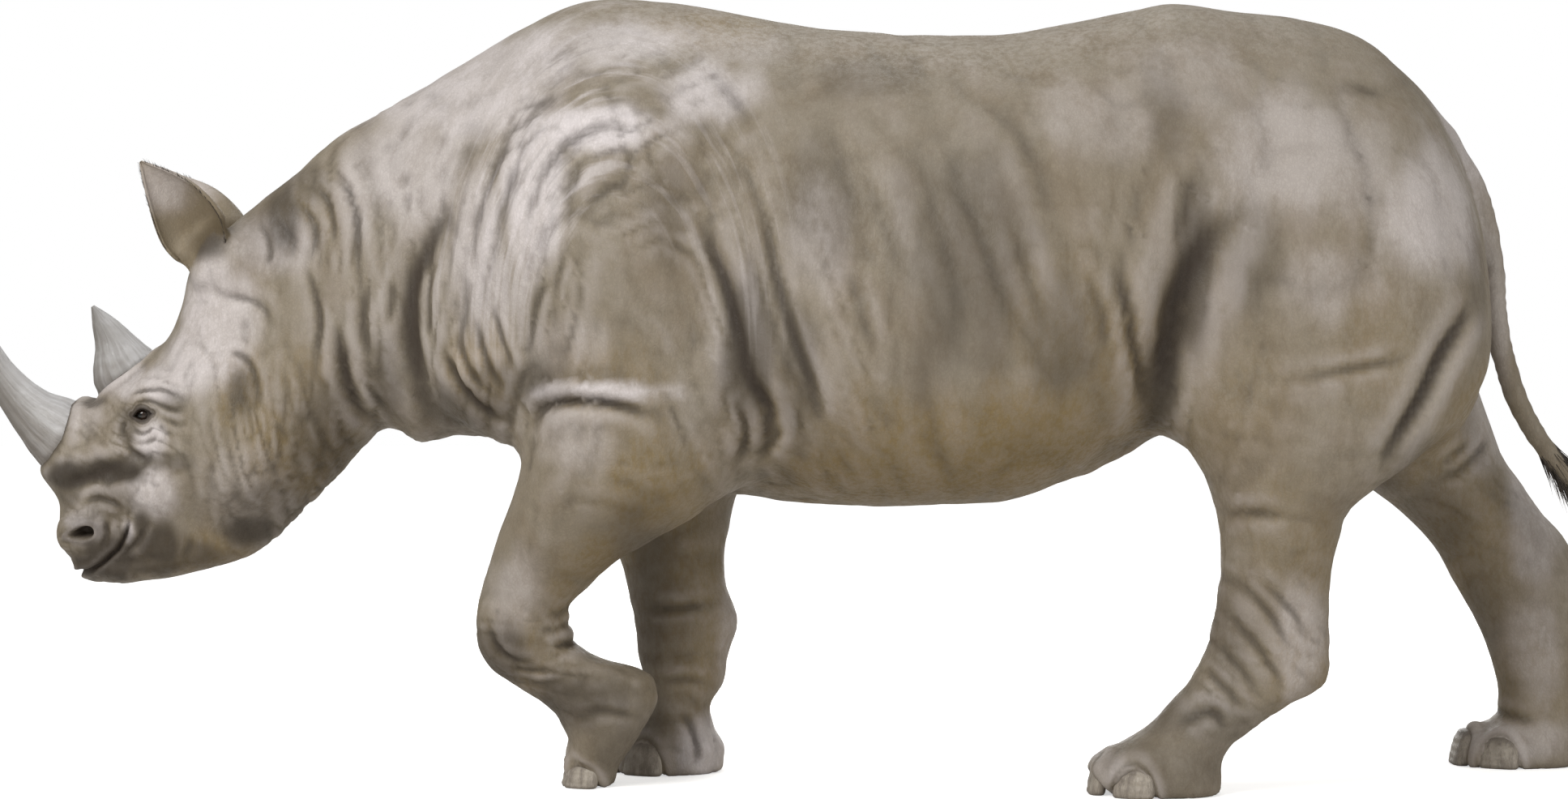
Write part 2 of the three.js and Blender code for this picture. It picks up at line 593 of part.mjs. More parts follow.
// Everything on the -X side of a plane through two points of the side view, moved by a shift.
function inFrontOf( { through, to }, shift ) {

	const along = new THREE.Vector2( to[ 0 ] - through[ 0 ], to[ 1 ] - through[ 1 ] ).normalize();
	const turn = Math.atan2( - along.x, - along.y );
	const block = new THREE.BoxGeometry( 2 * FAR, 2 * FAR, 2 * FAR );
	block.translate( - FAR + shift, 0, 0 ).rotateY( turn );
	return solidOf( moved( block, through[ 0 ], 0, through[ 1 ] ) );

}

// Everything below an arch that rises from the middle of the body to its side, moved by a shift.
function underArch( { middle, half, floor, rise, reach, foot }, side, shift ) {

	const ankle = floor - ANKLE_DROP;
	const shoulder = floor - ARCH_SHOULDER;
	const outline = [ [ foot[ 1 ], BELOW_GROUND ], [ foot[ 1 ], ankle ], [ reach[ 1 ], shoulder ] ];
	for ( let n = 0; n <= ARCH_STEPS; n ++ ) {

		const angle = Math.PI * n / ARCH_STEPS;
		outline.push( [ middle + half * Math.cos( angle ), floor + rise * Math.sin( angle ) ] );

	}

	outline.push( [ reach[ 0 ], shoulder ], [ foot[ 0 ], ankle ], [ foot[ 0 ], BELOW_GROUND ] );
	const section = ( y, height ) => outline.map( ( [ x, z ] ) => new THREE.Vector3(
		x + Math.sign( x - middle ) * shift, side * y, z > floor ? floor + ( z - floor ) * height + shift : z + shift,
	) );
	const sections = [ section( - shift, 0.02 ), section( ARCH_OUT, ARCH_OUT / ARCH_FULL_AT ) ];
	return solidOf( loft( sections ) );

}

// A closed skin over rings, which are turned round first where they wind the wrong way.
function loft( rings ) {

	const middleOf = ring => ring.reduce( ( sum, p ) => sum.add( p ), new THREE.Vector3() ).divideScalar( ring.length );
	const ahead = middleOf( rings.at( - 1 ) ).sub( middleOf( rings[ 0 ] ) );
	const normal = new THREE.Vector3();
	rings[ 0 ].forEach( ( p, n ) => normal.add( new THREE.Vector3().crossVectors( p, rings[ 0 ].at( n - 1 ) ) ) );
	const wound = normal.dot( ahead ) > 0 ? rings.map( ring => [ ...ring ].reverse() ) : rings;
	return new LoftGeometry( wound, { capStart: true, capEnd: true } );

}

function pathThrough( rows ) {

	const places = rows.map( ( [ x, z, , , y = 0 ] ) => new THREE.Vector3( x, y, z ) );
	return new THREE.CatmullRomCurve3( places, false, 'centripetal' );

}

// Rings across a path through rows of [x, z, half height, half width, y].
function sweep( rows, steps, sides ) {

	const curve = pathThrough( rows );
	const size = new THREE.CubicInterpolant( rows.map( ( _, n ) => n ), rows.flatMap( row => row.slice( 2, 4 ) ), 2 );
	const rings = [];
	for ( let n = 0; n <= steps; n ++ ) {

		const t = n / steps;
		const centre = curve.getPoint( t );
		const ahead = curve.getTangent( t );
		const across = new THREE.Vector3( 0, 1, 0 ).addScaledVector( ahead, - ahead.y ).normalize();
		const up = new THREE.Vector3().crossVectors( ahead, across );
		const [ tall, wide ] = size.evaluate( t * ( rows.length - 1 ) );
		rings.push( Array.from( { length: sides }, ( _, m ) => {

			const angle = 2 * Math.PI * m / sides;
			return centre.clone().addScaledVector( up, tall * Math.cos( angle ) )
				.addScaledVector( across, wide * Math.sin( angle ) );

		} ) );

	}

	return loft( rings );

}

// ------------------------------------------------------------------ head and its parts

// A shut lid is a shell round the ball. The slit between the lids is a lens cut through it.
function eyeSlit( side ) {

	const long = EYE.slitLength / 2;
	const tall = EYE.slitHeight / 2;
	const shape = new THREE.Shape();
	shape.moveTo( - long, 0 );
	shape.quadraticCurveTo( 0, 2 * tall, long, 0 );
	shape.quadraticCurveTo( 0, - 2 * tall, - long, 0 );
	const slit = new THREE.ExtrudeGeometry( shape, { depth: 60, bevelEnabled: false, curveSegments: 8 } );
	slit.rotateX( Math.PI / 2 ).rotateY( THREE.MathUtils.degToRad( EYE.tilt ) );
	if ( side > 0 ) slit.translate( 0, 60, 0 );
	return solidOf( moved( slit, EYE.x, side * EYE.y, EYE.z ) );

}

function mouthSlot() {

	const curve = new THREE.CatmullRomCurve3( MOUTH.line.map( ( [ x, z ] ) => new THREE.Vector3( x, 0, z ) ) );
	const rings = [];
	for ( let n = 0; n <= MOUTH.steps; n ++ ) {

		const point = curve.getPointAt( n / MOUTH.steps );
		const ahead = curve.getTangentAt( n / MOUTH.steps );
		const up = new THREE.Vector3( - ahead.z, 0, ahead.x ).multiplyScalar( MOUTH.height / 2 );
		const aside = new THREE.Vector3( 0, MOUTH.half, 0 );
		rings.push( [ [ 1, - 1 ], [ 1, 1 ], [ - 1, 1 ], [ - 1, - 1 ] ].map( ( [ a, b ] ) =>
			point.clone().addScaledVector( up, a ).addScaledVector( aside, b ) ) );

	}

	return solidOf( loft( rings ) );

}

function headSolid() {

	let solid = solidOf( netOf( core, ...GRID.head, CELL.head ) );
	solid = solid.intersect( inFrontOf( PLANE.head, - GAP / 2 ) );
	for ( const side of [ - 1, 1 ] ) {

		const lids = solidOf( ball( EYE.x, side * EYE.y, EYE.z, EYE.lid, EYE.lid, EYE.lid, 18, 12 ) );
		const socket = solidOf( ball( EYE.x, side * EYE.y, EYE.z, ...Array( 3 ).fill( EYE.ball + GAP ) ) );
		solid = solid.add( lids ).subtract( socket ).subtract( eyeSlit( side ) );
		const hole = ball( 0, 0, 0, NOSTRIL.long, NOSTRIL.deep, NOSTRIL.wide, 14, 8 )
			.rotateY( THREE.MathUtils.degToRad( NOSTRIL.tilt ) );
		solid = solid.subtract( solidOf( moved( hole, NOSTRIL.x, side * NOSTRIL.y, NOSTRIL.z ) ) );

	}

	return largest( solid.subtract( mouthSlot() ) );

}

// The value at any place between the rows [place, value] of a profile.
function profile( rows ) {

	const spline = new THREE.CubicInterpolant( rows.map( row => row[ 0 ] ), rows.map( row => row[ 1 ] ), 1 );
	return t => spline.evaluate( t )[ 0 ];

}

// One ear: crescent sections from the root to the tip. Near the root the hollow of the cup closes.
function earSolid( side, carrier ) {

	const root = new THREE.Vector3( ...EAR.root );
	const tip = new THREE.Vector3( ...EAR.tip );
	const ahead = tip.clone().sub( root ).normalize();
	const out = new THREE.Vector3( ...EAR.out );
	out.addScaledVector( ahead, - out.dot( ahead ) ).normalize();
	const back = new THREE.Vector3().crossVectors( ahead, out ).normalize();
	const [ halfAt, leanAt, depthAt ] = [ EAR.half, EAR.lean, EAR.depth ].map( profile );
	const rim = THREE.MathUtils.degToRad( EAR.opening );
	const rings = [];
	for ( let n = 0; n <= EAR.steps; n ++ ) {

		const t = n / EAR.steps;
		const half = halfAt( t );
		const depth = depthAt( t );
		const wall = Math.min( EAR.wall, half * 0.45 );
		const hollow = THREE.MathUtils.smoothstep( t, EAR.hollow.from, EAR.hollow.to );
		const centre = root.clone().lerp( tip, t ).addScaledVector( back, leanAt( t ) );
		const arc = ( a, b, fromAngle, toAngle ) => Array.from( { length: EAR.sides }, ( _, m ) => {

			const angle = lerp( fromAngle, toAngle, m / ( EAR.sides - 1 ) );
			return centre.clone().addScaledVector( back, a * Math.sin( angle ) )
				.addScaledVector( out, - b * Math.cos( angle ) );

		} );
		const inside = lerp( - 0.75 * depth, Math.max( depth - wall, depth * 0.4 ), hollow );
		rings.push( [ ...arc( half, depth, - rim, rim ), ...arc( half - wall, inside, rim * 0.96, - rim * 0.96 ) ] );

	}

	const ear = loft( rings );
	if ( side < 0 ) ear.scale( 1, - 1, 1 );
	return solidOf( ear ).subtract( carrier.translate( - 0.5 * GAP, side * 0.3 * GAP, GAP ) );

}

function hornSolid( { rows, steps, sides }, carrier ) {

	return solidOf( sweep( rows, steps, sides ) ).subtract( carrier.translate( - GAP * 0.7, 0, GAP * 0.7 ) );

}

// ------------------------------------------------------------------ legs, tail and hair

function nailGeometry( foot, [ angle, width, height ], grow ) {

	const [ x, y, forward, sideways, share ] = FEET[ foot ];
	const turn = THREE.MathUtils.degToRad( angle );
	const nail = ball( 0, 0, 0, NAIL_DEPTH + grow, share * width / 2 + grow, share * height + grow, 10, 8 );
	nail.rotateY( 0.16 ).rotateZ( - turn );
	return moved( nail, x - forward * 0.93 * Math.cos( turn ), y + sideways * 0.93 * Math.sin( turn ), 0 );

}

const aboveFloor = () => solidOf( moved( new THREE.BoxGeometry( 2 * FAR, 2 * FAR, 2 * FAR ), 0, 0, FAR ) );

function legSolids( leg ) {

	const field = ( x, y, z ) => blended( core( x, y, z ), leg.distance( x, y, z ), leg.blend );
	const { reach, foot, floor, rise } = leg.arch;
	const { margin, outer, inner, below } = LEG_GRID;
	const aside = leg.side < 0 ? [ - outer, inner ] : [ - inner, outer ];
	const low = [ Math.min( reach[ 0 ], foot[ 0 ] ) - margin, aside[ 0 ], - below ];
	const high = [ reach[ 1 ] + margin, aside[ 1 ], floor + rise * 1.25 + 2 * CELL.leg ];
	const net = netOf( field, low, high, CELL.leg );
	let solid = solidOf( net ).intersect( underArch( leg.arch, leg.side, - GAP / 2 ) ).intersect( aboveFloor() );
	solid = largest( solid );
	const nails = NAILS.map( ( nail, n ) => {

		solid = solid.subtract( solidOf( nailGeometry( leg.name, nail, GAP ) ) );
		return {
			name: `nail_${ leg.name }_${ NAIL_NAMES[ n ] }`,
			solid: solidOf( nailGeometry( leg.name, nail, 0 ) ).intersect( aboveFloor() ),
		};

	} );
	return [ { name: `leg_${ leg.name }`, solid }, ...nails ];

}

// Mulberry32, so that the hair falls the same way each time.
function seeded( seed ) {

	let state = seed;
	return () => {

		state = state + 0x6D2B79F5 | 0;
		let t = Math.imul( state ^ state >>> 15, 1 | state );
		t = t + Math.imul( t ^ t >>> 7, 61 | t ) ^ t;
		return ( ( t ^ t >>> 14 ) >>> 0 ) / 4294967296;

	};

}

function tailSolid( { rows, steps, sides }, carrier ) {

	return solidOf( sweep( rows, steps, sides ) ).subtract( carrier.translate( GAP * 0.7, 0, GAP * 0.7 ) );

}

// Flat tapered locks on both edges of the tail's end, over a core that ends half way to their tips.
function tuftSolid( tail ) {

	const [ x, z, tall, wide ] = TAIL.rows.at( - 1 );
	const tangent = pathThrough( TAIL.rows ).getTangent( 1 );
	const ahead = new THREE.Vector2( tangent.x, tangent.z );
	const start = new THREE.Vector2( x, z ).addScaledVector( ahead, GAP );
	const row = ( along, off, y, halfTall, halfWide ) => [
		start.x + ahead.x * along - ahead.y * off,
		start.y + ahead.y * along + ahead.x * off - along * along / 900,
		halfTall, halfWide, y,
	];
	const core = TUFT.core * TUFT.length;
	let solid = solidOf( sweep( [
		row( 0, 0, 0, tall, wide ), row( core * 0.5, 0, 0, tall * 0.75, wide * 0.75 ), row( core, 0, 0, 4, 3 ),
	], 5, 10 ) );
	const random = seeded( TUFT.seed );
	const [ length, width, thick ] = TUFT.lock;
	for ( let n = 0; n < TUFT.locks; n ++ ) {

		const along = 6 + ( core - 6 ) * n / ( TUFT.locks - 1 );
		const edge = n % 2 ? 1 : - 1;
		const reach = length * ( 0.85 + 0.3 * random() );
		const y = ( random() - 0.5 ) * 14;
		const spread = edge * ( 8 + 12 * random() );
		const thin = lerp( 1, 0.55, along / core );
		const hook = random() * 8;
		solid = solid.add( solidOf( sweep( [
			row( along, edge * 2, y * 0.2, width * 0.35 * thin, thick / 2 ),
			row( along + reach * 0.4, edge * 7 * thin + spread * 0.4, y * 0.7, width / 2 * thin, thick * 0.4 ),
			row( along + reach, edge * 4 * thin + spread + hook, y, 1, 0.7 ),
		], 4, 6 ) ) );

	}

	return solid.subtract( tail.translate( ahead.x * GAP, 0, ahead.y * GAP ) );

}

// ------------------------------------------------------------------ the whole animal

const rhinoceros = new THREE.Group();
rhinoceros.name = 'black_rhinoceros';

function addPart( name, solid, colour, roughness ) {

	rhinoceros.add( meshOf( name, solid, colour, roughness ) );

}

const skull = headSolid();
addPart( 'head', skull, COLOUR.hide );

const neck = solidOf( netOf( core, ...GRID.neck, CELL.neck ) )
	.subtract( inFrontOf( PLANE.head, GAP / 2 ) ).intersect( inFrontOf( PLANE.neck, - GAP / 2 ) );
addPart( 'neck', neck, COLOUR.neck );

let torso = solidOf( netOf( body, ...GRID.torso, CELL.torso ) )
	.subtract( inFrontOf( PLANE.neck, GAP / 2 ) );
for ( const leg of legs ) torso = torso.subtract( underArch( leg.arch, leg.side, GAP / 2 ) );
torso = largest( torso );
addPart( 'torso', torso, COLOUR.hide );

for ( const leg of legs ) {

	const [ flesh, ...nails ] = legSolids( leg );
	addPart( flesh.name, flesh.solid, COLOUR.leg );
	nails.forEach( nail => addPart( nail.name, nail.solid, COLOUR.nail, 0.6 ) );

}

[ [ - 1, 'left' ], [ 1, 'right' ] ].forEach( ( [ side, word ] ) => {

	addPart( `ear_${ word }`, earSolid( side, skull ), COLOUR.ear );
	addPart( `eye_${ word }`, solidOf( ball( EYE.x, side * EYE.y, EYE.z, EYE.ball, EYE.ball, EYE.ball ) ),
		COLOUR.eye, 0.1 );

} );

addPart( 'horn_front', hornSolid( HORN_FRONT, skull ), COLOUR.horn, 0.5 );
addPart( 'horn_rear', hornSolid( HORN_REAR, skull ), COLOUR.horn, 0.5 );
const tail = largest( tailSolid( TAIL, torso ) );
addPart( 'tail', tail, COLOUR.tail );
addPart( 'tail_tuft', tuftSolid( tail ), COLOUR.hair, 0.9 );

const middle = new THREE.Box3().setFromObject( rhinoceros ).getCenter( new THREE.Vector3() );
rhinoceros.position.set( - middle.x, - middle.y, 0 );

export default rhinoceros;
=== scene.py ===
"""A black rhinoceros, walking: the finished look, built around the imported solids.

The hide is one closed surface. It comes from the same flesh as the solids: stacks of rounded
sections and eggs, blended into each other, meshed, refined where the detail is fine, joined with
the ears and the tail, and then sculpted with folds and wrinkles. Horns, nails, eyes and hair are
surfaces of their own. Metres, +Z up; the animal faces -X and its left side faces -Y.
"""

import math
from itertools import product

import bpy
import numpy as np
from bpy.props import FloatProperty, FloatVectorProperty, IntProperty, PointerProperty
from bpy.types import Operator, Panel, PropertyGroup
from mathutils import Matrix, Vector


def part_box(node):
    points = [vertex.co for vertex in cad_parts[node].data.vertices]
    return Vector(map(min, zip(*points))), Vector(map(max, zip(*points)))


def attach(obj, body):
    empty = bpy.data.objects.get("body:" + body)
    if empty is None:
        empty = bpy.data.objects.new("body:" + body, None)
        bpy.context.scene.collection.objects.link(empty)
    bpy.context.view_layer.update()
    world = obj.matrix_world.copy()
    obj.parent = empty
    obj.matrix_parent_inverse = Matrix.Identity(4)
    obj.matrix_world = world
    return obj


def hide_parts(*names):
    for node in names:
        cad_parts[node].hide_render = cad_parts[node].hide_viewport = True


bl_info = {
    "name": "Black rhinoceros",
    "version": (1, 0, 0),
    "blender": (4, 5, 0),
    "location": "3D View > Sidebar > Rhinoceros",
    "description": "Builds the hide, horns, nails, eyes and hair of a walking black rhinoceros",
    "category": "Add Mesh",
}

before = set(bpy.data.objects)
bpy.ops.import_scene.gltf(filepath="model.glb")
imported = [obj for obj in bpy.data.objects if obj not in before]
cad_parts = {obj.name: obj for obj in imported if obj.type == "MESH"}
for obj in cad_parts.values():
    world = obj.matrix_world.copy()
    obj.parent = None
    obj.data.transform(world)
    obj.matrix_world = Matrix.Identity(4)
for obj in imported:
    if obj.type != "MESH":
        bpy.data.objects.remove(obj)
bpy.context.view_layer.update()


# ---- sizes of the flesh

# The flesh is described in the frame of the camera, whose x = 0 is the middle of the view.
EYE = (-1.285, 0.121, 0.744)
EYE_RADIUS, LASH_RADIUS = 0.020, 0.0225
LOW, HIGH = (np.array(corner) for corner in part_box("eye_left"))
SHIFT = (LOW + HIGH) / 2 - np.array([EYE[0], -EYE[1], EYE[2]])


def sections(*rows):
    """Rows of millimetres in metres. The last two numbers of a row, the powers of its curves, are
    2.1 where the row leaves them out."""
    rows = [row if len(row) > 6 else (*row, 2.1, 2.1) for row in rows]
    return np.array(rows) / ((1000,) * 6 + (1, 1))


# Along x, in millimetres: x, low z, wide z, high z, middle y, half width, power below, power above.
TRUNK = sections(
    (-1010, 725, 945, 1210, 0, 140, 2, 2), (-945, 648, 945, 1287, 0, 172, 2, 2),
    (-875, 690, 965, 1335, 0, 200, 2, 2), (-800, 722, 975, 1375, 0, 222, 2, 2),
    (-740, 692, 995, 1411, 0, 244, 2, 2), (-676, 716, 1025, 1449, 0, 274, 2, 2),
    (-610, 706, 1055, 1488, 0, 308, 2, 1.9), (-544, 694, 1065, 1528, 0, 340, 2, 1.8),
    (-411, 625, 1065, 1587, 0, 378, 2.1, 1.75), (-344, 603, 1055, 1593, 0, 388, 2.1, 1.75),
    (-212, 586, 1035, 1583, 0, 396, 2.1, 1.8), (-79, 577, 1015, 1560, 0, 408, 2.1, 1.85),
    (54, 562, 990, 1535, 0, 428, 2.1, 1.9), (187, 557, 975, 1522, 0, 446, 2.1, 1.95),
    (320, 558, 970, 1517, 0, 455, 2.1, 2), (452, 569, 975, 1521, 0, 455, 2.1, 2),
    (585, 612, 995, 1544, 0, 446, 2, 1.95), (718, 675, 1025, 1571, 0, 425, 2, 1.9),
    (784, 711, 1045, 1583, 0, 412, 2, 1.9), (917, 720, 1065, 1568, 0, 390, 2, 1.9),
    (1050, 700, 1065, 1552, 0, 366, 2, 1.95), (1183, 685, 1045, 1507, 0, 330, 2, 2),
    (1283, 675, 1025, 1415, 0, 285, 2, 2), (1349, 690, 1005, 1315, 0, 232, 2, 2),
    (1390, 730, 985, 1220, 0, 178, 2, 2), (1415, 785, 970, 1115, 0, 118, 2, 2),
    (1428, 865, 955, 1015, 0, 50, 2, 2),
)

# Along z, in millimetres: z, front x, wide x, rear x, middle y, half width, power in front, power behind.
HEAD = sections(
    (402, -1416, -1370, -1325, 0, 22, 2, 2), (408, -1428, -1350, -1275, 0, 54, 2, 2),
    (423, -1436, -1330, -1205, 0, 78, 2.2, 2), (448, -1449, -1310, -1112, 0, 94, 2.3, 2),
    (478, -1470, -1295, -1060, 0, 103, 2.4, 2), (505, -1480, -1280, -1026, 0, 109, 2.4, 2),
    (535, -1481, -1260, -997, 0, 117, 2.3, 2), (564, -1483, -1235, -968, 0, 128, 2.1, 2),
    (597, -1500, -1200, -936, 0, 141, 1.9, 2), (625, -1519, -1170, -912, 0, 151, 1.8, 2),
    (650, -1517, -1140, -893, 0, 160, 1.75, 2), (694, -1492, -1110, -870, 0, 169, 1.75, 2),
    (738, -1468, -1090, -860, 0, 172, 1.8, 2), (775, -1447, -1075, -855, 0, 171, 1.85, 2),
    (798, -1408, -1065, -855, 0, 169, 1.9, 2), (825, -1366, -1055, -855, 0, 166, 1.95, 2),
    (871, -1290, -1045, -860, 0, 158, 2.1, 2), (896, -1262, -1040, -865, 0, 153, 2.15, 2),
    (962, -1232, -1030, -875, 0, 145, 2.2, 2), (1054, -1207, -1020, -885, 0, 134, 2.1, 2),
    (1095, -1170, -1010, -890, 0, 126, 2, 2), (1145, -1113, -1000, -900, 0, 112, 2, 2),
    (1190, -1055, -990, -910, 0, 88, 2, 2), (1210, -1020, -980, -930, 0, 60, 2, 2),
)

FORE_LEFT = sections(
    (-80, -426, -386, -340, -112, 68, 2.3, 2.3), (30, -428, -386, -334, -114, 74, 2.3, 2.3),
    (72, -428, -378, -308, -122, 88, 2.2, 2.2), (113, -439, -368, -282, -132, 92),
    (162, -474, -365, -257, -142, 92), (200, -530, -385, -256, -148, 90), (230, -575, -420, -278, -152, 91),
    (265, -603, -490, -385, -158, 93), (308, -613, -515, -424, -164, 94), (357, -612, -515, -426, -172, 96),
    (406, -598, -490, -388, -182, 102), (454, -584, -460, -330, -196, 112),
    (503, -567, -420, -246, -210, 124), (550, -549, -385, -168, -224, 136),
    (601, -528, -355, -110, -236, 146), (666, -508, -335, -92, -244, 154),
    (765, -495, -320, -100, -244, 156), (885, -490, -320, -130, -232, 158, 2, 2),
    (1035, -450, -310, -170, -210, 150, 2, 2),
)

FORE_RIGHT = sections(
    (-80, -352, -242, -128, 132, 112, 2.3, 2.2), (20, -352, -242, -127, 132, 112, 2.3, 2.2),
    (52, -340, -238, -126, 132, 110, 2.2, 2.2), (90, -309, -228, -146, 134, 99),
    (137, -291, -222, -154, 137, 89), (187, -292, -210, -126, 140, 87), (238, -304, -211, -117, 143, 88),
    (315, -314, -210, -98, 148, 93), (390, -328, -226, -122, 158, 100), (441, -345, -236, -127, 172, 110),
    (525, -385, -252, -114, 200, 130), (601, -425, -270, -108, 226, 144), (666, -455, -285, -94, 240, 152),
    (765, -475, -300, -110, 244, 156), (885, -475, -310, -140, 232, 158, 2, 2),
    (1035, -450, -310, -170, 210, 150, 2, 2),
)

HIND_LEFT = sections(
    (-80, 640, 750, 858, -250, 104, 2.3, 2.3), (0, 640, 750, 858, -250, 104, 2.3, 2.3),
    (28, 602, 735, 860, -250, 106, 2.3, 2.3), (64, 604, 740, 862, -250, 104, 2.3, 2.2),
    (93, 656, 765, 878, -249, 96, 2.2, 2.2), (125, 708, 815, 922, -248, 90), (173, 758, 875, 992, -247, 84),
    (207, 789, 915, 1056, -247, 83, 2.1, 2.4), (235, 808, 930, 1072, -248, 84, 2.1, 2.4),
    (285, 831, 945, 1073, -250, 88, 2.1, 2.2), (365, 850, 955, 1071, -254, 96),
    (413, 857, 962, 1071, -258, 102), (461, 860, 970, 1077, -262, 112), (508, 858, 975, 1090, -264, 122),
    (556, 850, 980, 1110, -264, 134), (604, 834, 985, 1165, -262, 148), (652, 812, 995, 1235, -256, 160),
    (729, 768, 1010, 1320, -244, 174), (835, 752, 1040, 1385, -226, 186, 2, 2),
    (985, 790, 1070, 1385, -204, 190, 2, 2), (1135, 860, 1080, 1320, -176, 178, 2, 2),
    (1265, 940, 1080, 1230, -140, 140, 2, 2),
)

HIND_RIGHT = sections(
    (-80, 1432, 1558, 1682, 250, 104, 2.3, 2.3), (30, 1430, 1558, 1685, 250, 106, 2.3, 2.3),
    (56, 1448, 1568, 1690, 250, 102, 2.2, 2.2), (85, 1494, 1592, 1700, 249, 92),
    (125, 1520, 1620, 1722, 248, 85), (177, 1517, 1632, 1744, 247, 83, 2.1, 2.2),
    (229, 1503, 1630, 1750, 247, 84, 2.1, 2.2), (280, 1484, 1616, 1742, 248, 88),
    (332, 1458, 1595, 1722, 252, 96), (384, 1430, 1572, 1704, 256, 104), (435, 1405, 1545, 1682, 260, 114),
    (487, 1366, 1510, 1652, 262, 126), (539, 1312, 1460, 1608, 262, 138), (591, 1246, 1405, 1570, 260, 150),
    (645, 1160, 1340, 1530, 256, 160), (729, 1020, 1260, 1494, 244, 174),
    (835, 900, 1180, 1456, 226, 186, 2, 2), (985, 860, 1120, 1400, 204, 190, 2, 2),
    (1135, 880, 1090, 1320, 176, 178, 2, 2), (1265, 940, 1080, 1230, 140, 140, 2, 2),
)

# Muscles, bosses and lips: x, |y|, z, three radii, tilt in degrees, blend.
HEAD_MASSES = (
    (-1.12, 0.112, 0.685, 0.095, 0.066, 0.12, 20, 0.06),  # chewing muscle
    (-1.195, 0.118, 0.775, 0.1, 0.04, 0.034, 50, 0.04),  # cheekbone
    (-1.268, 0.112, 0.791, 0.046, 0.03, 0.024, 20, 0.026),  # brow
    (-1.44, 0, 0.685, 0.07, 0.074, 0.086, -25, 0.04),  # boss of the front horn
    (-1.33, 0, 0.812, 0.074, 0.054, 0.044, -35, 0.03),  # boss of the rear horn
    (-1.42, 0.062, 0.507, 0.046, 0.034, 0.044, 0, 0.026),  # side of the nose
    (-1.412, 0.038, 0.453, 0.034, 0.054, 0.034, 0, 0.022),  # upper lip
    (-1.352, 0.04, 0.431, 0.056, 0.052, 0.026, -12, 0.02),  # lower lip
    (-1.12, 0.096, 1.06, 0.062, 0.044, 0.058, 0, 0.04),  # root of the ear
)
TRUNK_MASSES = (
    (-0.33, 0.23, 1.115, 0.19, 0.15, 0.3, -14, 0.12),  # shoulder blade
    (-0.56, 0.19, 0.845, 0.12, 0.12, 0.15, 20, 0.1),  # point of the shoulder
    (-0.69, 0.06, 0.8, 0.11, 0.09, 0.08, 0, 0.08),  # brisket
    (0.25, 0.25, 0.845, 0.42, 0.19, 0.24, 0, 0.12),  # belly
)

# Soft forms of the face that only the hide has, like the masses above.
FACE_MASSES = (
    (-1.285, 0.121, 0.744, 0.0235, 0.0235, 0.0235, 0, 0.020),  # lids round the eyeball
    (-1.292, 0.128, 0.704, 0.030, 0.014, 0.013, -12, 0.016),  # bag under the eye
    (-1.262, 0.118, 0.783, 0.062, 0.026, 0.016, 24, 0.026),  # brow
    (-1.268, 0.108, 0.592, 0.052, 0.046, 0.050, 20, 0.036),  # pad of the cheek over the lip
    (-1.424, 0.076, 0.505, 0.046, 0.026, 0.044, 0, 0.022),  # swelling round the nostril
    (-1.350, 0.070, 0.560, 0.060, 0.040, 0.026, 24, 0.026),  # fold between nose and cheek
    (-1.168, 0.095, 1.030, 0.028, 0.034, 0.028, 0, 0.026),  # foot of the ear
)

SOLE = 0.014  # the rounding where a foot meets the floor
TOE_BLEND = 0.022
REACH = 0.17  # further from a form than this, only being outside of it matters
# Each leg: its sections and its blend into the body.
LEGS = ((FORE_LEFT, 0.09), (FORE_RIGHT, 0.09), (HIND_LEFT, 0.11), (HIND_RIGHT, 0.11))
HEAD_BLEND = 0.07

# Foot at the floor: middle x, middle y, reach forward, reach sideways, share of the nail size.
FEET = {
    "front_left": (-0.385, -0.112, 0.042, 0.070, 0.8),
    "front_right": (-0.242, 0.132, 0.108, 0.108, 1),
    "hind_left": (0.735, -0.250, 0.124, 0.102, 0.95),
    "hind_right": (1.558, 0.250, 0.126, 0.102, 0.95),
}
# Nails: name, degrees from straight ahead, width, height.
NAILS = (("middle", 0, 0.092, 0.066), ("left", -62, 0.074, 0.058), ("right", 62, 0.074, 0.058))


# ---- numbers


def smoothstep(low, high, value):
    """Nought below low, one above high, and 3t^2 - 2t^3 of the way between."""
    t = np.clip((value - low) / (high - low), 0, 1)
    return t * t * (3 - 2 * t)


def bell(value, middle, width):
    """One at the middle and nought far from it: exp(-((value - middle) / width)^2)."""
    return np.exp(-(((value - middle) / width) ** 2))


def lengths(vectors):
    """The length of each vector."""
    return np.linalg.norm(vectors, axis=-1)


def unit(vectors):
    """Each vector divided by its length."""
    return vectors / lengths(vectors)[..., None]


def mirrored(p):
    """Points with the left side's moved over to the right: |y| for y."""
    return p * (1, 0, 1) + np.abs(p * (0, 1, 0))


def turned(u, v, angle):
    """Coordinates turned by an angle: u cos - v sin and u sin + v cos."""
    c, s = math.cos(angle), math.sin(angle)
    return u * c - v * s, u * s + v * c


def leaning(degrees):
    """The matrix that turns rows of points by so many degrees in the side view."""
    c, s = math.cos(math.radians(degrees)), math.sin(math.radians(degrees))
    return np.array([[c, 0, -s], [0, 1, 0], [s, 0, c]])


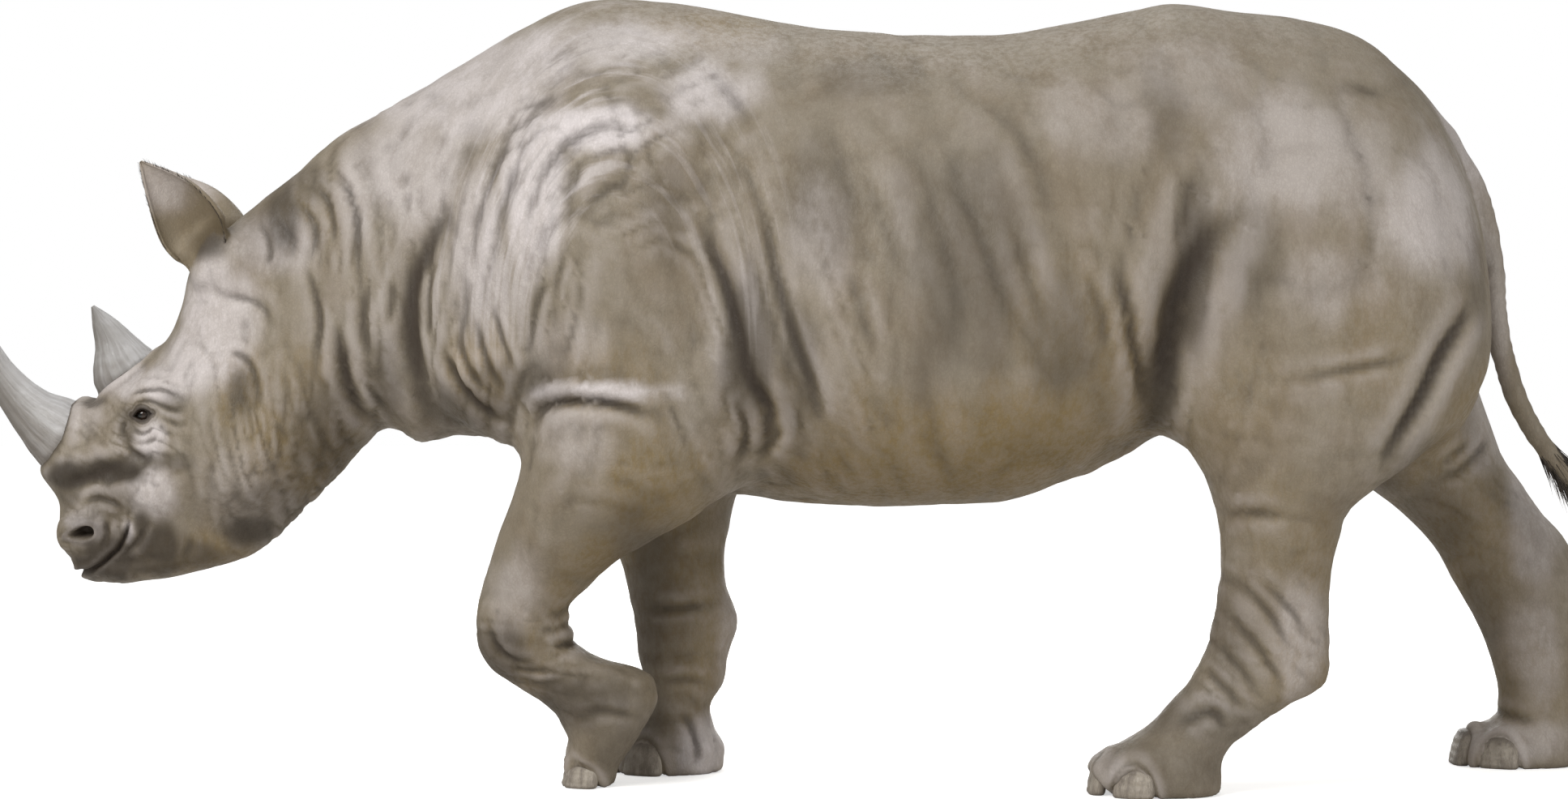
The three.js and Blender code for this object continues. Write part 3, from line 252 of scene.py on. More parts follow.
def cubic(table, t):
    """The table's values at t: cubics between the rows, whose slope at a row is the mean of the
    straight slopes before and after it."""
    places, values = table[:, 0], table[:, 1:]
    straight = np.diff(values, axis=0) / np.diff(places)[:, None]
    slope = np.vstack([straight[:1], (straight[1:] + straight[:-1]) / 2, straight[-1:]])
    t = np.clip(t, places[0], places[-1])
    row = np.clip(np.searchsorted(places, t, side="right") - 1, 0, len(places) - 2)
    gap = places[row + 1] - places[row]
    p = ((t - places[row]) / gap)[:, None]
    gap = gap[:, None]
    return (
        values[row] * (2 * p**3 - 3 * p**2 + 1)
        + values[row + 1] * (3 * p**2 - 2 * p**3)
        + slope[row] * gap * (p**3 - 2 * p**2 + p)
        + slope[row + 1] * gap * (p**3 - p**2)
    )


def noise(p, seed=0):
    """Smooth noise from -1 to 1: a random value on each whole-number corner, blended across the
    cube around a point by 6f^5 - 15f^4 + 10f^3 in each direction."""
    base = np.floor(p).astype(np.int64)
    f = p - base
    f = f * f * f * (f * (f * 6 - 15) + 10)
    total = np.zeros(len(p))
    for corner in product((0, 1), repeat=3):
        x, y, z = (base + corner).T
        mixed = (x * 374761393 + y * 668265263 + z * 1442695041 + seed * 1013904223) & 0xFFFFFFFF
        mixed = ((mixed ^ (mixed >> 13)) * 1274126177) & 0xFFFFFFFF
        mixed = mixed ^ (mixed >> 16)
        weight = np.prod(np.where(corner, f, 1 - f), axis=1)
        total += weight * ((mixed & 0xFFFF) / 32767.5 - 1)
    return total


def noise_on(grid, seed):
    """Noise at each point of a grid of points."""
    return noise(grid.reshape(-1, 3), seed).reshape(grid.shape[:2])


def lines_of(p, scale, seed, width=0.16):
    """Thin wandering lines, one on the line and nought away from it: exp(-(n / width)^2) of
    stretched noise n, which is one where the noise passes through nought."""
    return bell(noise(p / np.array(scale), seed), 0, width)


def path_through(points, step):
    """Points about a step apart on the Catmull-Rom curve through the given ones."""
    points = np.array(points, float)
    ends = np.vstack([2 * points[0] - points[1], points, 2 * points[-1] - points[-2]])
    length = lengths(np.diff(points, axis=0)).sum()
    count = max(int(length / step), 2 * len(points))
    t = np.linspace(0, len(points) - 1 - 1e-9, count)
    row = t.astype(int)
    t = (t - row)[:, None]
    a, b, c, d = (ends[row + k] for k in range(4))
    return 0.5 * (
        2 * b + (c - a) * t + (2 * a - 5 * b + 4 * c - d) * t**2 + (3 * b - a - 3 * c + d) * t**3
    )


# ---- the flesh as a distance


def only_near(low, high, distance):
    """The distance within REACH of a box, and REACH itself elsewhere."""
    low, high = np.array(low) - REACH, np.array(high) + REACH

    def culled(p):
        result = np.full(len(p), REACH)
        here = ((p > low) & (p < high)).all(axis=1)
        result[here] = np.minimum(distance(p[here]), REACH)
        return result

    return culled


def stack(along, table):
    """Distance to superellipse sections stacked along x or z. Across the stack it is
    (level - 1) / slope, with level = (a^n + b^n)^(1/n) for the shares a and b of the two radii."""
    first, last = table[0, 0], table[-1, 0]

    def distance(p):
        t, v = (p[:, 0], p[:, 2]) if along == "x" else (p[:, 2], p[:, 0])
        low, wide, high, middle, half, power_low, power_high = cubic(table, t).T
        above = v > wide
        radius = np.maximum(np.where(above, high - wide, wide - low), 0.001)
        power = np.where(above, power_high, power_low)
        a = np.abs(v - wide) / radius
        b = np.abs(p[:, 1] - middle) / half
        level = np.maximum((a**power + b**power) ** (1 / power), 1e-6)
        slope = np.hypot(a ** (power - 1) / radius, b ** (power - 1) / half)
        across = (level - 1) / np.maximum(slope * level ** (1 - power), 1e-6)
        beyond = np.maximum(first - t, t - last)
        outside = np.hypot(np.maximum(across, 0), beyond)
        return np.where(beyond > 0, outside, np.maximum(across, beyond))

    low = table[:, 1].min(), (table[:, 4] - table[:, 5]).min(), first
    high = table[:, 3].max(), (table[:, 4] + table[:, 5]).max(), last
    order = (2, 1, 0) if along == "x" else (0, 1, 2)
    return only_near([low[k] for k in order], [high[k] for k in order], distance)


def egg(centre, radii, tilt=0.0):
    """Distance to an ellipsoid turned by tilt degrees in the side view: level (level - 1) / slope."""
    centre, radii = np.array(centre), np.array(radii)

    def distance(p):
        local = (p - centre) @ leaning(tilt)
        level = lengths(local / radii)
        slope = lengths(local / radii**2)
        return np.where(slope > 1e-9, level * (level - 1) / np.maximum(slope, 1e-9), -radii.min())

    return only_near(centre - radii.max(), centre + radii.max(), distance)


def blended(a, b, width):
    """The lesser distance, rounded off by h^2 width / 4, h = 1 - |a - b| / width, near the meeting."""
    h = np.maximum(width - np.abs(a - b), 0) / width
    return np.minimum(a, b) - h * h * width / 4


def with_masses(base, masses):
    """A form with eggs blended on, the same on both sides."""
    parts = [(egg(row[:3], row[3:6], row[6]), row[7]) for row in masses]

    def distance(p):
        result = base(p)
        for part, width in parts:
            result = blended(result, part(mirrored(p)), width)
        return result

    return distance


def toes_of(foot):
    """The eggs under the skin of a foot, one behind each nail: distance function and blend."""
    x, y, forward, sideways, share = FEET[foot]
    parts = []
    for _, angle, width, height in NAILS:
        turn = math.radians(angle)
        centre = (x - forward * 0.66 * math.cos(turn), y + sideways * 0.66 * math.sin(turn), 0.03)
        radii = (0.046 * share, width * 0.5 * share, height * 0.95 * share)
        parts.append(egg(centre, radii))
    return parts


trunk = with_masses(stack("x", TRUNK), TRUNK_MASSES)
head = with_masses(stack("z", HEAD), HEAD_MASSES + FACE_MASSES)
legs = [(stack("z", table), blend) for table, blend in LEGS]
toes = [toe for foot in FEET for toe in toes_of(foot)]


def flesh(p):
    """Distance to the whole animal without ears and tail, flat on the floor."""
    result = core = blended(trunk(p), head(p), HEAD_BLEND)
    for leg, blend in legs:
        result = np.minimum(result, blended(core, leg(p), blend))
    for toe in toes:
        result = blended(result, toe(p), TOE_BLEND)
    return -blended(-result, p[:, 2], SOLE)


# ---- from distance to mesh

STEPS = ((1, -1, -1), (-1, -1, 1), (-1, 1, -1), (1, 1, 1))


def slope_of(field, p, step=0.0006):
    """Value and slope of a field, from four samples on the corners of a small tetrahedron."""
    value, slope = np.zeros(len(p)), np.zeros((len(p), 3))
    for corner in np.array(STEPS, float):
        sample = field(p + corner * step)
        value += sample / 4
        slope += sample[:, None] * corner / (4 * step)
    return value, slope


def settled(field, p, passes=1, most=0.012):
    """Points moved onto the surface by Newton steps along the slope."""
    for _ in range(passes):
        value, slope = slope_of(field, p)
        steep = np.maximum((slope**2).sum(axis=1), 0.1)
        p = p - np.clip(value / steep, -most, most)[:, None] * slope
    return p


def edges_of(faces):
    """The edges of triangles, each once, and for each triangle its three edges' numbers."""
    pairs = np.sort(faces[:, [[0, 1], [1, 2], [2, 0]]].reshape(-1, 2), axis=1)
    key, number = np.unique(pairs[:, 0] * (faces.max() + 1) + pairs[:, 1], return_inverse=True)
    edges = np.stack([key // (faces.max() + 1), key % (faces.max() + 1)], axis=1)
    return edges, number.reshape(-1, 3)


def neighbour_mean(values, edges):
    """The mean of each vertex's neighbours."""
    a, b = edges.T
    count = len(values)
    flat = values.reshape(count, -1)
    around = np.bincount(a, minlength=count) + np.bincount(b, minlength=count)
    sums = [np.bincount(a, f[b], count) + np.bincount(b, f[a], count) for f in flat.T]
    return (np.stack(sums, axis=1) / np.maximum(around, 1)[:, None]).reshape(values.shape)


def square_of(axis):
    """Steps to the corners of the grid face that an axis crosses, in order round it."""
    return [np.roll((0, *step), axis) for step in ((0, 0), (1, 0), (1, 1), (0, 1))]


def window(grid, step, size):
    """The part of a grid that starts at a step and has a size."""
    return grid[tuple(slice(a, a + n) for a, n in zip(step, size))]


def untwist(value):
    """Where the corners of a grid face lie in, out, in, out, the surface would be pinched, so the
    corner nearest to the surface changes sides."""
    found = True
    while found:
        found = False
        for axis in range(3):
            steps = square_of(axis)
            a, b, c, d = (window(value, step, value.shape - steps[2]) < 0 for step in steps)
            where = np.argwhere((a == c) & (b == d) & (a != b))
            if len(where):
                found = True
                places = np.stack([where + step for step in steps])
                nearest = np.abs(value[tuple(places.T)]).argmin(axis=1)
                chosen = tuple(np.unique(places[nearest, np.arange(len(where))], axis=0).T)
                value[chosen] = np.where(value[chosen] < 0, 1e-6, -1e-6)


def nets(field, low, high, cell):
    """Surface nets: a vertex in each cell that the surface passes, at the mean of where it crosses
    the cell's edges, and two triangles across each grid edge that it crosses."""
    axes = [np.arange(a, b + cell, cell) for a, b in zip(low, high)]
    grid = np.stack(np.meshgrid(*axes, indexing="ij"), axis=-1)
    shape = np.array(grid.shape[:3])
    value = field(grid.reshape(-1, 3)).reshape(shape)
    untwist(value)
    cells = shape - 1
    sums, hits = np.zeros((*cells, 3)), np.zeros(cells)
    crossed = []
    for axis in range(3):
        ahead = np.roll((1, 0, 0), axis)
        a, b = (window(value, step, shape - ahead) for step in (0 * ahead, ahead))
        place = window(grid, 0 * ahead, shape - ahead)
        cross = (a < 0) != (b < 0)
        crossed.append((cross, a < 0))
        place = place + cell * np.where(cross, a / np.where(cross, a - b, 1), 0)[..., None] * ahead
        place *= cross[..., None]
        for step in square_of(axis):
            sums += window(place, step, cells)
            hits += window(cross, step, cells)
    used = hits > 0
    number = np.full(cells, -1)
    number[used] = np.arange(used.sum())
    faces = []
    for axis, (cross, inside) in enumerate(crossed):
        where = np.argwhere(cross)
        ring = np.stack([number[tuple((where - step).T)] for step in square_of(axis)], axis=1)
        back = ~inside[cross]
        ring[back] = ring[back][:, ::-1]
        faces += [ring[:, [0, 1, 2]], ring[:, [0, 2, 3]]]
    return sums[used] / hits[used][:, None], np.concatenate(faces)


def refined(points, faces, chosen):
    """Each chosen triangle in four, and its neighbours cut to match, at the middles of the edges."""
    edges, number = edges_of(faces)
    cut = np.zeros(len(edges), bool)
    cut[number[chosen]] = True
    fresh = np.where(cut, len(points) + np.cumsum(cut) - 1, -1)
    points = np.vstack([points, points[edges[cut]].mean(axis=1)])
    middle = fresh[number]
    cuts = (middle >= 0).sum(axis=1)
    # Each triangle is turned so that its one cut edge, or its one whole edge, comes first.
    first = np.where(cuts == 1, (middle >= 0).argmax(axis=1), (middle < 0).argmax(axis=1))
    order = (np.arange(3) + first[:, None]) % 3
    corner = np.take_along_axis(faces, order, axis=1).T
    middle = np.take_along_axis(middle, order, axis=1).T
    (a, b, c), (m, n, o) = corner, middle
    shapes = {
        0: ((a, b, c),),
        1: ((a, m, c), (m, b, c)),
        2: ((a, b, n), (a, n, o), (o, n, c)),
        3: ((a, m, o), (m, b, n), (o, n, c), (m, n, o)),
    }
    result = []
    for count, triangles in shapes.items():
        here = cuts == count
        result += [np.stack([corner[here] for corner in triangle], axis=1) for triangle in triangles]
    return points, np.concatenate(result)


def normals_of(points, faces):
    """Vertex normals, weighted by the areas of the faces around."""
    a, b, c = (points[faces[:, k]] for k in range(3))
    face = np.cross(b - a, c - a)
    total = np.zeros_like(points)
    for axis in range(3):
        for corner in range(3):
            total[:, axis] += np.bincount(faces[:, corner], face[:, axis], len(points))
    return total / np.maximum(lengths(total), 1e-12)[:, None]


def tube_faces(rows, columns):
    """Triangles of a grid of rings, and fans to one point more at its first and at its last ring."""
    ring = np.arange(columns)
    after = (ring + 1) % columns
    row = np.arange(rows - 1)[:, None] * columns
    quads = [row + ring, row + after, row + columns + after, row + columns + ring]
    a, b, c, d = (corner.ravel() for corner in quads)
    end = (rows - 1) * columns
    start = (0 * ring + rows * columns, after, ring)
    finish = (0 * ring + rows * columns + 1, end + ring, end + after)
    parts = ((a, b, c), (a, c, d), start, finish)
    return np.concatenate([np.stack(corners, axis=1) for corners in parts])


def outwards(points, faces):
    """The faces of a closed mesh, turned round if its volume comes out negative."""
    a, b, c = (points[faces[:, k]] for k in range(3))
    return faces[:, ::-1] if (a * np.cross(b, c)).sum() < 0 else faces


def tube(points):
    """A closed mesh of rings of points, with its ends capped at the middles of the end rings."""
    rows, columns = points.shape[:2]
    points = points.reshape(-1, 3)
    points = np.vstack([points, points[:columns].mean(axis=0), points[-columns:].mean(axis=0)])
    return points, outwards(points, tube_faces(rows, columns))


def mesh_object(name, points, faces, attributes=None, at_shift=True):
    """A smooth-shaded object whose place is in its mesh, with a number per vertex for each attribute."""
    mesh = bpy.data.meshes.new(name)
    if at_shift:
        points = points + SHIFT
    corners = faces.shape[1]
    mesh.vertices.add(len(points))
    mesh.vertices.foreach_set("co", np.asarray(points, np.float32).ravel())
    mesh.loops.add(faces.size)
    mesh.loops.foreach_set("vertex_index", np.asarray(faces, np.int32).ravel())
    mesh.polygons.add(len(faces))
    mesh.polygons.foreach_set("loop_start", np.arange(len(faces), dtype=np.int32) * corners)
    mesh.update(calc_edges=True)
    mesh.validate()
    mesh.shade_smooth()
    for key, values in (attributes or {}).items():
        layer = mesh.attributes.new(key, "FLOAT", "POINT")
        layer.data.foreach_set("value", np.asarray(values, np.float32))
    piece = bpy.data.objects.new(name, mesh)
    bpy.context.scene.collection.objects.link(piece)
    return piece


def arrays_of(mesh):
    """The points and triangles of a mesh."""
    mesh.calc_loop_triangles()
    points = np.empty(len(mesh.vertices) * 3)
    mesh.vertices.foreach_get("co", points)
    faces = np.empty(len(mesh.loop_triangles) * 3, int)
    mesh.loop_triangles.foreach_get("vertices", faces)
    return points.reshape(-1, 3), faces.reshape(-1, 3)


# ---- folds and wrinkles

MOUTH = (
    (-1.470, 0.413), (-1.433, 0.424), (-1.399, 0.430), (-1.364, 0.456), (-1.337, 0.482), (-1.313, 0.541),
)
MOUTH_FOLD = (0.0046, 0.013, 0.30, 0.16)  # width, depth, lip, share over which it fades out
NOSTRIL = {"centre": (-1.417, 0.504), "radii": (0.027, 0.0160), "tilt": -12, "deep": (0.012, -0.030, 0.010)}
EYELIDS = {
    "half_length": 0.0196, "above": 0.0125, "below": 0.0105, "tilt": -8, "under": 0.0030, "deep": 0.011,
}

# Folds, in millimetres: side (0 both, -1 left, +1 right), whether they go all round a limb, and
# rows of width, depth, share of the depth that the skin beside swells, and x and z of each point.
FOLDS = (
    (0, False, (
        # head
        (4.5, 3.5, 0.5, -1313, 741, -1301, 764, -1277, 773, -1246, 764, -1215, 752, -1186, 764),
        (5, 3.5, 0.4, -1321, 781, -1290, 794, -1248, 796, -1217, 785, -1186, 769),
        (5, 2.5, 0.3, -1264, 812, -1228, 807, -1196, 790), (5, 3, 0.3, -1319, 741, -1331, 717, -1326, 691),
        (4, 3, 0.3, -1310, 725, -1287, 705, -1258, 721),
        (4, 1.6, 0.4, -1313, 699, -1293, 683, -1264, 691, -1245, 712),
        (7, 4.5, 0.5, -1329, 702, -1313, 674, -1284, 655, -1248, 657),
        (5, 1.8, 0.3, -1248, 741, -1225, 730, -1202, 725, -1183, 734),
        (5, 1.8, 0.3, -1251, 731, -1238, 712, -1215, 699),
        (12, 8, 0.3, -1478, 601, -1433, 608, -1387, 621, -1339, 639, -1261, 657),
        (7, 5, 0.5, -1382, 589, -1350, 613, -1306, 626, -1251, 653),
        (6, 5, 0.5, -1423, 563, -1387, 579, -1348, 569, -1326, 543),
        (6, 6, 0.5, -1370, 537, -1365, 501, -1378, 465),
        (5, 5, 0.5, -1287, 533, -1292, 503, -1310, 475, -1340, 449),
        (6, 2, 0.3, -1365, 430, -1326, 444, -1277, 456, -1222, 465),
        (9, 3.5, 0.4, -1152, 1023, -1128, 992, -1081, 981, -1040, 961, -1022, 927, -1005, 887),
        (6, 4, 0.3, -1113, 851, -1095, 866, -1063, 841, -1047, 790, -1040, 731),
        (9, 2.5, 0.3, -1134, 666, -1144, 618, -1131, 569), (7, 2, 0.3, -1193, 512, -1202, 478, -1222, 449),
        # neck
        (8, 6, 0.35, -923, 1261, -892, 1224, -868, 1183, -855, 1137, -849, 1059, -841, 987),
        (9, 5, 0.35, -1035, 1151, -1000, 1121, -981, 1089, -984, 1043),
        (7, 4, 0.3, -1064, 1143, -1038, 1108, -1029, 1070, -1038, 1035),
        (7, 4, 0.3, -981, 1181, -949, 1143, -939, 1095, -949, 1041),
        (7, 4.5, 0.3, -955, 1213, -917, 1175, -901, 1122, -898, 1054),
        (8, 5.5, 0.35, -962, 1054, -936, 1000, -925, 930, -930, 875, -917, 812),
        (11, 12, 0.5, -898, 936, -885, 875, -872, 812, -852, 761, -815, 721),
        (8, 5, 0.35, -831, 1011, -837, 947, -834, 891, -812, 850),
        (9, 6, 0.3, -783, 1027, -780, 968, -786, 904), (7, 5, 0.35, -844, 824, -822, 786, -796, 742),
        (20, 15, 0.35, -629, 1189, -672, 1134, -713, 1054, -740, 987, -743, 907, -732, 824, -713, 756,
         -697, 708),
        (8, 6, 0.4, -669, 1083, -691, 1011, -697, 931, -684, 859),
        (8, 9, 0.5, -673, 899, -656, 844, -627, 793, -579, 751, -512, 730),
        (6, 5, 0.4, -640, 920, -630, 866, -605, 818, -567, 780),
        (6, 5, 0.4, -602, 949, -592, 885, -570, 831, -538, 789),
        (6, 4, 0.4, -563, 968, -554, 917, -535, 859, -512, 812),
        # shoulder
        (9, 9, 1.4, -509, 732, -485, 736, -471, 758, -431, 770, -378, 772, -322, 764, -273, 752, -198, 742),
        (9, 4.5, 0.45, -241, 1267, -304, 1295, -372, 1292, -428, 1252, -465, 1190, -493, 1118, -518, 1041),
        (9, 3.5, 0.4, -260, 1236, -316, 1255, -372, 1230, -412, 1174, -434, 1106),
        (9, 2.5, 0.4, -279, 1196, -335, 1180, -381, 1140),
        (9, 4.5, 0.4, -493, 1339, -546, 1261, -580, 1168, -599, 1075, -595, 997),
        (9, 4, 0.4, -415, 1351, -477, 1292, -521, 1214, -549, 1124, -558, 1028),
        (18, 4, 0.4, -189, 1444, -130, 1398, -83, 1342, -52, 1283),
        (12, 2.5, 0.4, -217, 1277, -173, 1221, -145, 1149, -130, 1068, -117, 997),
        (14, 13, 0.4, -189, 1180, -158, 1106, -120, 1013, -92, 919, -68, 814, -33, 745, -52, 683, -92, 634),
        (8, 6, 0.4, -105, 783, -77, 733, -80, 677, -111, 634),
        (10, 7, 0.4, -64, 1183, -36, 1075, -2, 963, 29, 870, 60, 764, 66, 721),
        (8, 5, 0.3, 1, 733, -30, 690, -58, 652), (8, 3, 0.4, -415, 1028, -465, 982, -487, 913, -490, 839),
        (8, 2, 0.3, -276, 1090, -198, 1065, -148, 1013, -127, 932),
        # flank
        (20, 2.2, 0.3, 125, 1373, 212, 1273, 307, 1160),
        (20, 2.5, 0.3, 283, 1444, 361, 1367, 434, 1308, 504, 1218, 554, 1113),
        (15, 3, 0.3, 144, 1245, 196, 1090, 234, 958), (14, 4, 0.3, 97, 1075, 147, 935, 193, 803),
        (14, 3.5, 0.4, 417, 1152, 460, 1013, 501, 873),
        (14, 8, 0.4, 613, 1081, 644, 994, 668, 901, 693, 795, 703, 745),
        (12, 4, 0.4, 582, 1028, 609, 932, 622, 845),
        (24, 20, 0.35, 845, 1196, 827, 1106, 790, 1025, 759, 947, 743, 864, 734, 783, 734, 727),
        (15, 5, 0.3, 799, 1252, 786, 1180, 762, 1103, 731, 1028),
        # thigh
        (9, 3.2, 0.4, 920, 811, 1060, 829, 1144, 845, 1231, 870),
        (13, 2.2, 0.3, 1060, 1398, 1137, 1388, 1203, 1351),
    )),
    (-1, True, (
        # near fore leg
        (7, 6, 0.5, -583, 356, -571, 293, -540, 261, -470, 252),
        (6, 3.5, 0.5, -558, 249, -505, 236, -436, 239), (6, 2.5, 0.4, -536, 227, -483, 211, -420, 221),
        (8, 3, 0.4, -401, 384, -436, 356, -470, 349), (7, 3, 0.4, -411, 340, -445, 324, -483, 327),
        (8, 6, 0.4, -379, 283, -420, 293, -458, 290),
        (8, 3, 0.4, -420, 142, -373, 158, -320, 151, -279, 139),
        # near hind leg
        (13, 12, 0.5, 1353, 1007, 1326, 945, 1286, 882, 1240, 811, 1201, 740, 1163, 670, 1138, 607),
        (10, 3.5, 0.4, 846, 544, 899, 554, 962, 550),
        (9, 3.6, 0.35, 839, 444, 883, 412, 934, 368, 971, 318, 990, 265),
        (8, 3.6, 0.35, 833, 384, 877, 343, 921, 293, 956, 239, 968, 195),
        (8, 3, 0.35, 824, 315, 865, 274, 905, 227, 934, 186),
        (7, 2.6, 0.35, 805, 265, 843, 227, 880, 189, 909, 161),
        (8, 3, 0.35, 883, 440, 946, 400, 1003, 343, 1031, 293),
        (9, 5, 0.5, 763, 129, 785, 156, 825, 169, 850, 151, 861, 111),
    )),
    (1, True, (
        # far fore leg
        (9, 3, 0.4, -301, 352, -251, 342, -179, 347, -104, 356),
        (8, 2, 0.4, -284, 189, -200, 199, -128, 169), (7, 5, 0.5, -217, 135, -189, 101, -176, 57, -179, 9),
        # far hind leg
        (9, 3.5, 0.4, 1339, 600, 1397, 620, 1458, 668, 1485, 712),
        (8, 3.5, 0.4, 1353, 627, 1397, 658, 1444, 695), (8, 3.5, 0.4, 1478, 118, 1533, 111, 1592, 94),
    )),
)

# Wide hollows, in millimetres (below nought, swellings): middle x and z, reach in x and z, depth.
HOLLOWS = (
    (-1089, 793, 39, 71, 7), (-1410, 781, 31, 21, 17), (-1088, 512, 49, 29, 6), (-1378, 618, 81, 36, 8),
    (-1221, 585, 32, 81, -4), (-1144, 910, 81, 114, -4), (-12, 858, 78, 171, 16), (760, 920, 62, 171, 16),
    (331, 951, 140, 203, 8), (144, 1154, 62, 156, 7), (-573, 889, 93, 140, 8), (1048, 795, 93, 140, -8),
    (923, 1154, 140, 171, -8), (-136, 1294, 125, 109, -8), (-323, 1045, 140, 171, -6),
    (-714, 1083, 64, 176, 8), (674, 1154, 62, 140, 7), (-430, 667, 97, 97, -6), (1260, 1145, 95, 127, -6),
    (905, 442, 48, 97, -5), (518, 1029, 93, 187, -6),
)

# Fields of small wrinkles: middle (x, z), reach (x, z), size of the pattern along x, y and z,
# degrees that it leans, height of the swellings, depth of the lines.
WRINKLES = (
    ((-0.78, 1.00), (0.24, 0.46), (0.040, 0.10, 0.22), 4, 0.0045, 0.0016),  # neck
    ((-0.98, 0.62), (0.17, 0.20), (0.024, 0.06, 0.12), 10, 0.0032, 0.0016),  # throat
    ((-1.10, 0.78), (0.20, 0.22), (0.040, 0.06, 0.10), 10, 0.0024, 0.0006),  # cheek
    ((-1.33, 0.66), (0.16, 0.12), (0.050, 0.05, 0.022), -25, 0.0016, 0.0008),  # bridge of the nose
    ((-1.40, 0.47), (0.12, 0.10), (0.026, 0.03, 0.022), 0, 0.0014, 0.0008),  # muzzle
    ((-0.52, 0.98), (0.22, 0.44), (0.044, 0.12, 0.26), -12, 0.0050, 0.0016),  # shoulder
    ((-0.36, 1.28), (0.30, 0.22), (0.130, 0.14, 0.036), 28, 0.0036, 0.0012),  # over the blade
    ((-0.20, 1.10), (0.36, 0.34), (0.080, 0.14, 0.26), 20, 0.0036, 0.0008),  # blade
    ((-0.02, 0.80), (0.22, 0.34), (0.046, 0.12, 0.24), 20, 0.0048, 0.0016),  # behind the elbow
    ((-0.33, 0.66), (0.20, 0.14), (0.150, 0.14, 0.044), -10, 0.0026, 0.0008),  # upper arm
    ((0.36, 1.02), (0.56, 0.52), (0.110, 0.24, 0.48), 18, 0.0060, 0.0006),  # ribs
    ((0.74, 0.86), (0.22, 0.38), (0.050, 0.12, 0.30), -14, 0.0050, 0.0012),  # groin
    ((1.15, 1.10), (0.34, 0.44), (0.170, 0.20, 0.22), 0, 0.0050, 0.0004),  # haunch
    ((1.00, 0.62), (0.28, 0.20), (0.110, 0.12, 0.050), -8, 0.0024, 0.0006),  # knee
    ((0.93, 0.26), (0.22, 0.22), (0.110, 0.08, 0.034), -34, 0.0019, 0.0008),  # left hock
    ((1.62, 0.26), (0.22, 0.26), (0.130, 0.10, 0.060), 14, 0.0012, 0.0003),  # right hock
    ((1.45, 0.54), (0.28, 0.16), (0.130, 0.12, 0.050), -24, 0.0020, 0.0006),  # right thigh
    ((-0.50, 0.29), (0.24, 0.22), (0.110, 0.08, 0.040), -12, 0.0020, 0.0008),  # left wrist
    ((-0.22, 0.32), (0.18, 0.28), (0.130, 0.10, 0.044), 0, 0.0018, 0.0006),  # right wrist
    ((0.00, 0.80), (2.20, 1.20), (0.075, 0.08, 0.100), 0, 0.0012, 0.0003),  # all over
)


def from_path(p, path):
    """How far points of the side view are from a path, on which side of it (its left is +1), and
    what share of the path lies before the nearest place."""
    start, along = path[:-1], np.diff(path, axis=0)
    offset = p[:, None] - start
    share = np.clip((offset * along).sum(axis=2) / (along**2).sum(axis=1), 0, 1)
    offset = offset - share[..., None] * along
    far = lengths(offset)
    nearest = far.argmin(axis=1)
    row = np.arange(len(p))
    away = offset[row, nearest]
    ahead = along[nearest]
    side = np.sign(ahead[:, 0] * away[:, 1] - ahead[:, 1] * away[:, 0])
    return far[row, nearest], side, (nearest + share[row, nearest]) / len(along)


WIDER, DEEPER = 1.35, 1.25  # how much wider and deeper folds are than their rows say


def fold_shape(p, path, width, depth, lip, fade=0.38):
    """Height and painted shade of a fold: a groove -depth exp(-(d/width)^2), a swelling of lip times the
    depth along its left and less along its right, all fading out towards both ends."""
    far, side, share = from_path(p, path)
    ends = smoothstep(0, fade, share) * smoothstep(0, fade, 1 - share)
    groove = bell(far, 0, width)
    swell = bell(far, 2.1 * width, 1.3 * width)
    height = depth * ends * (lip * swell * np.where(side > 0, 1, 0.55) - groove)
    # Painted shade in the groove, darker for deeper folds.
    dark = ends * bell(far, 0, 0.7 * width) * min(depth / 0.014, 1)
    return height, dark


def side_view(p):
    """The side-view places of points on either side, shaken a little so that the sides differ."""
    shake = np.stack([noise(p * (9, 3, 9), 5), noise(p * (9, 3, 9), 6)], axis=1)
    return p[:, [0, 2]] + 0.005 * shake


def each_fold():
    """Width, depth, lip, path, side and whether it goes all round, of every fold."""
    for side, all_round, rows in FOLDS:
        for width, depth, lip, *places in rows:
            path = np.array(places).reshape(-1, 2) / 1000
            yield width / 1000, depth / 1000, lip, path, side, all_round


def near_path(seen, p, path, margin, side):
    """Which points are within a margin of a path's box, on the path's side."""
    low, high = path.min(axis=0) - margin, path.max(axis=0) + margin
    return ((seen > low) & (seen < high)).all(axis=1) & (p[:, 1] * side >= 0)


def apply_folds(p, normal, strength):
    """Height and painted shade of all the folds at each point."""
    seen = side_view(p)
    outward = smoothstep(-0.4, 0.1, normal[:, 1] * np.sign(p[:, 1]))
    height, dark = np.zeros(len(p)), np.zeros(len(p))
    for width, depth, lip, path, side, all_round in each_fold():
        path = path_through(path, 0.012)
        here = near_path(seen, p, path, 4 * width, side)
        rise, shade = fold_shape(seen[here], path, WIDER * width, DEEPER * depth * strength, lip)
        weight = 1 if all_round else outward[here]
        height[here] += rise * weight
        dark[here] = np.maximum(dark[here], shade * weight)
    return height, dark


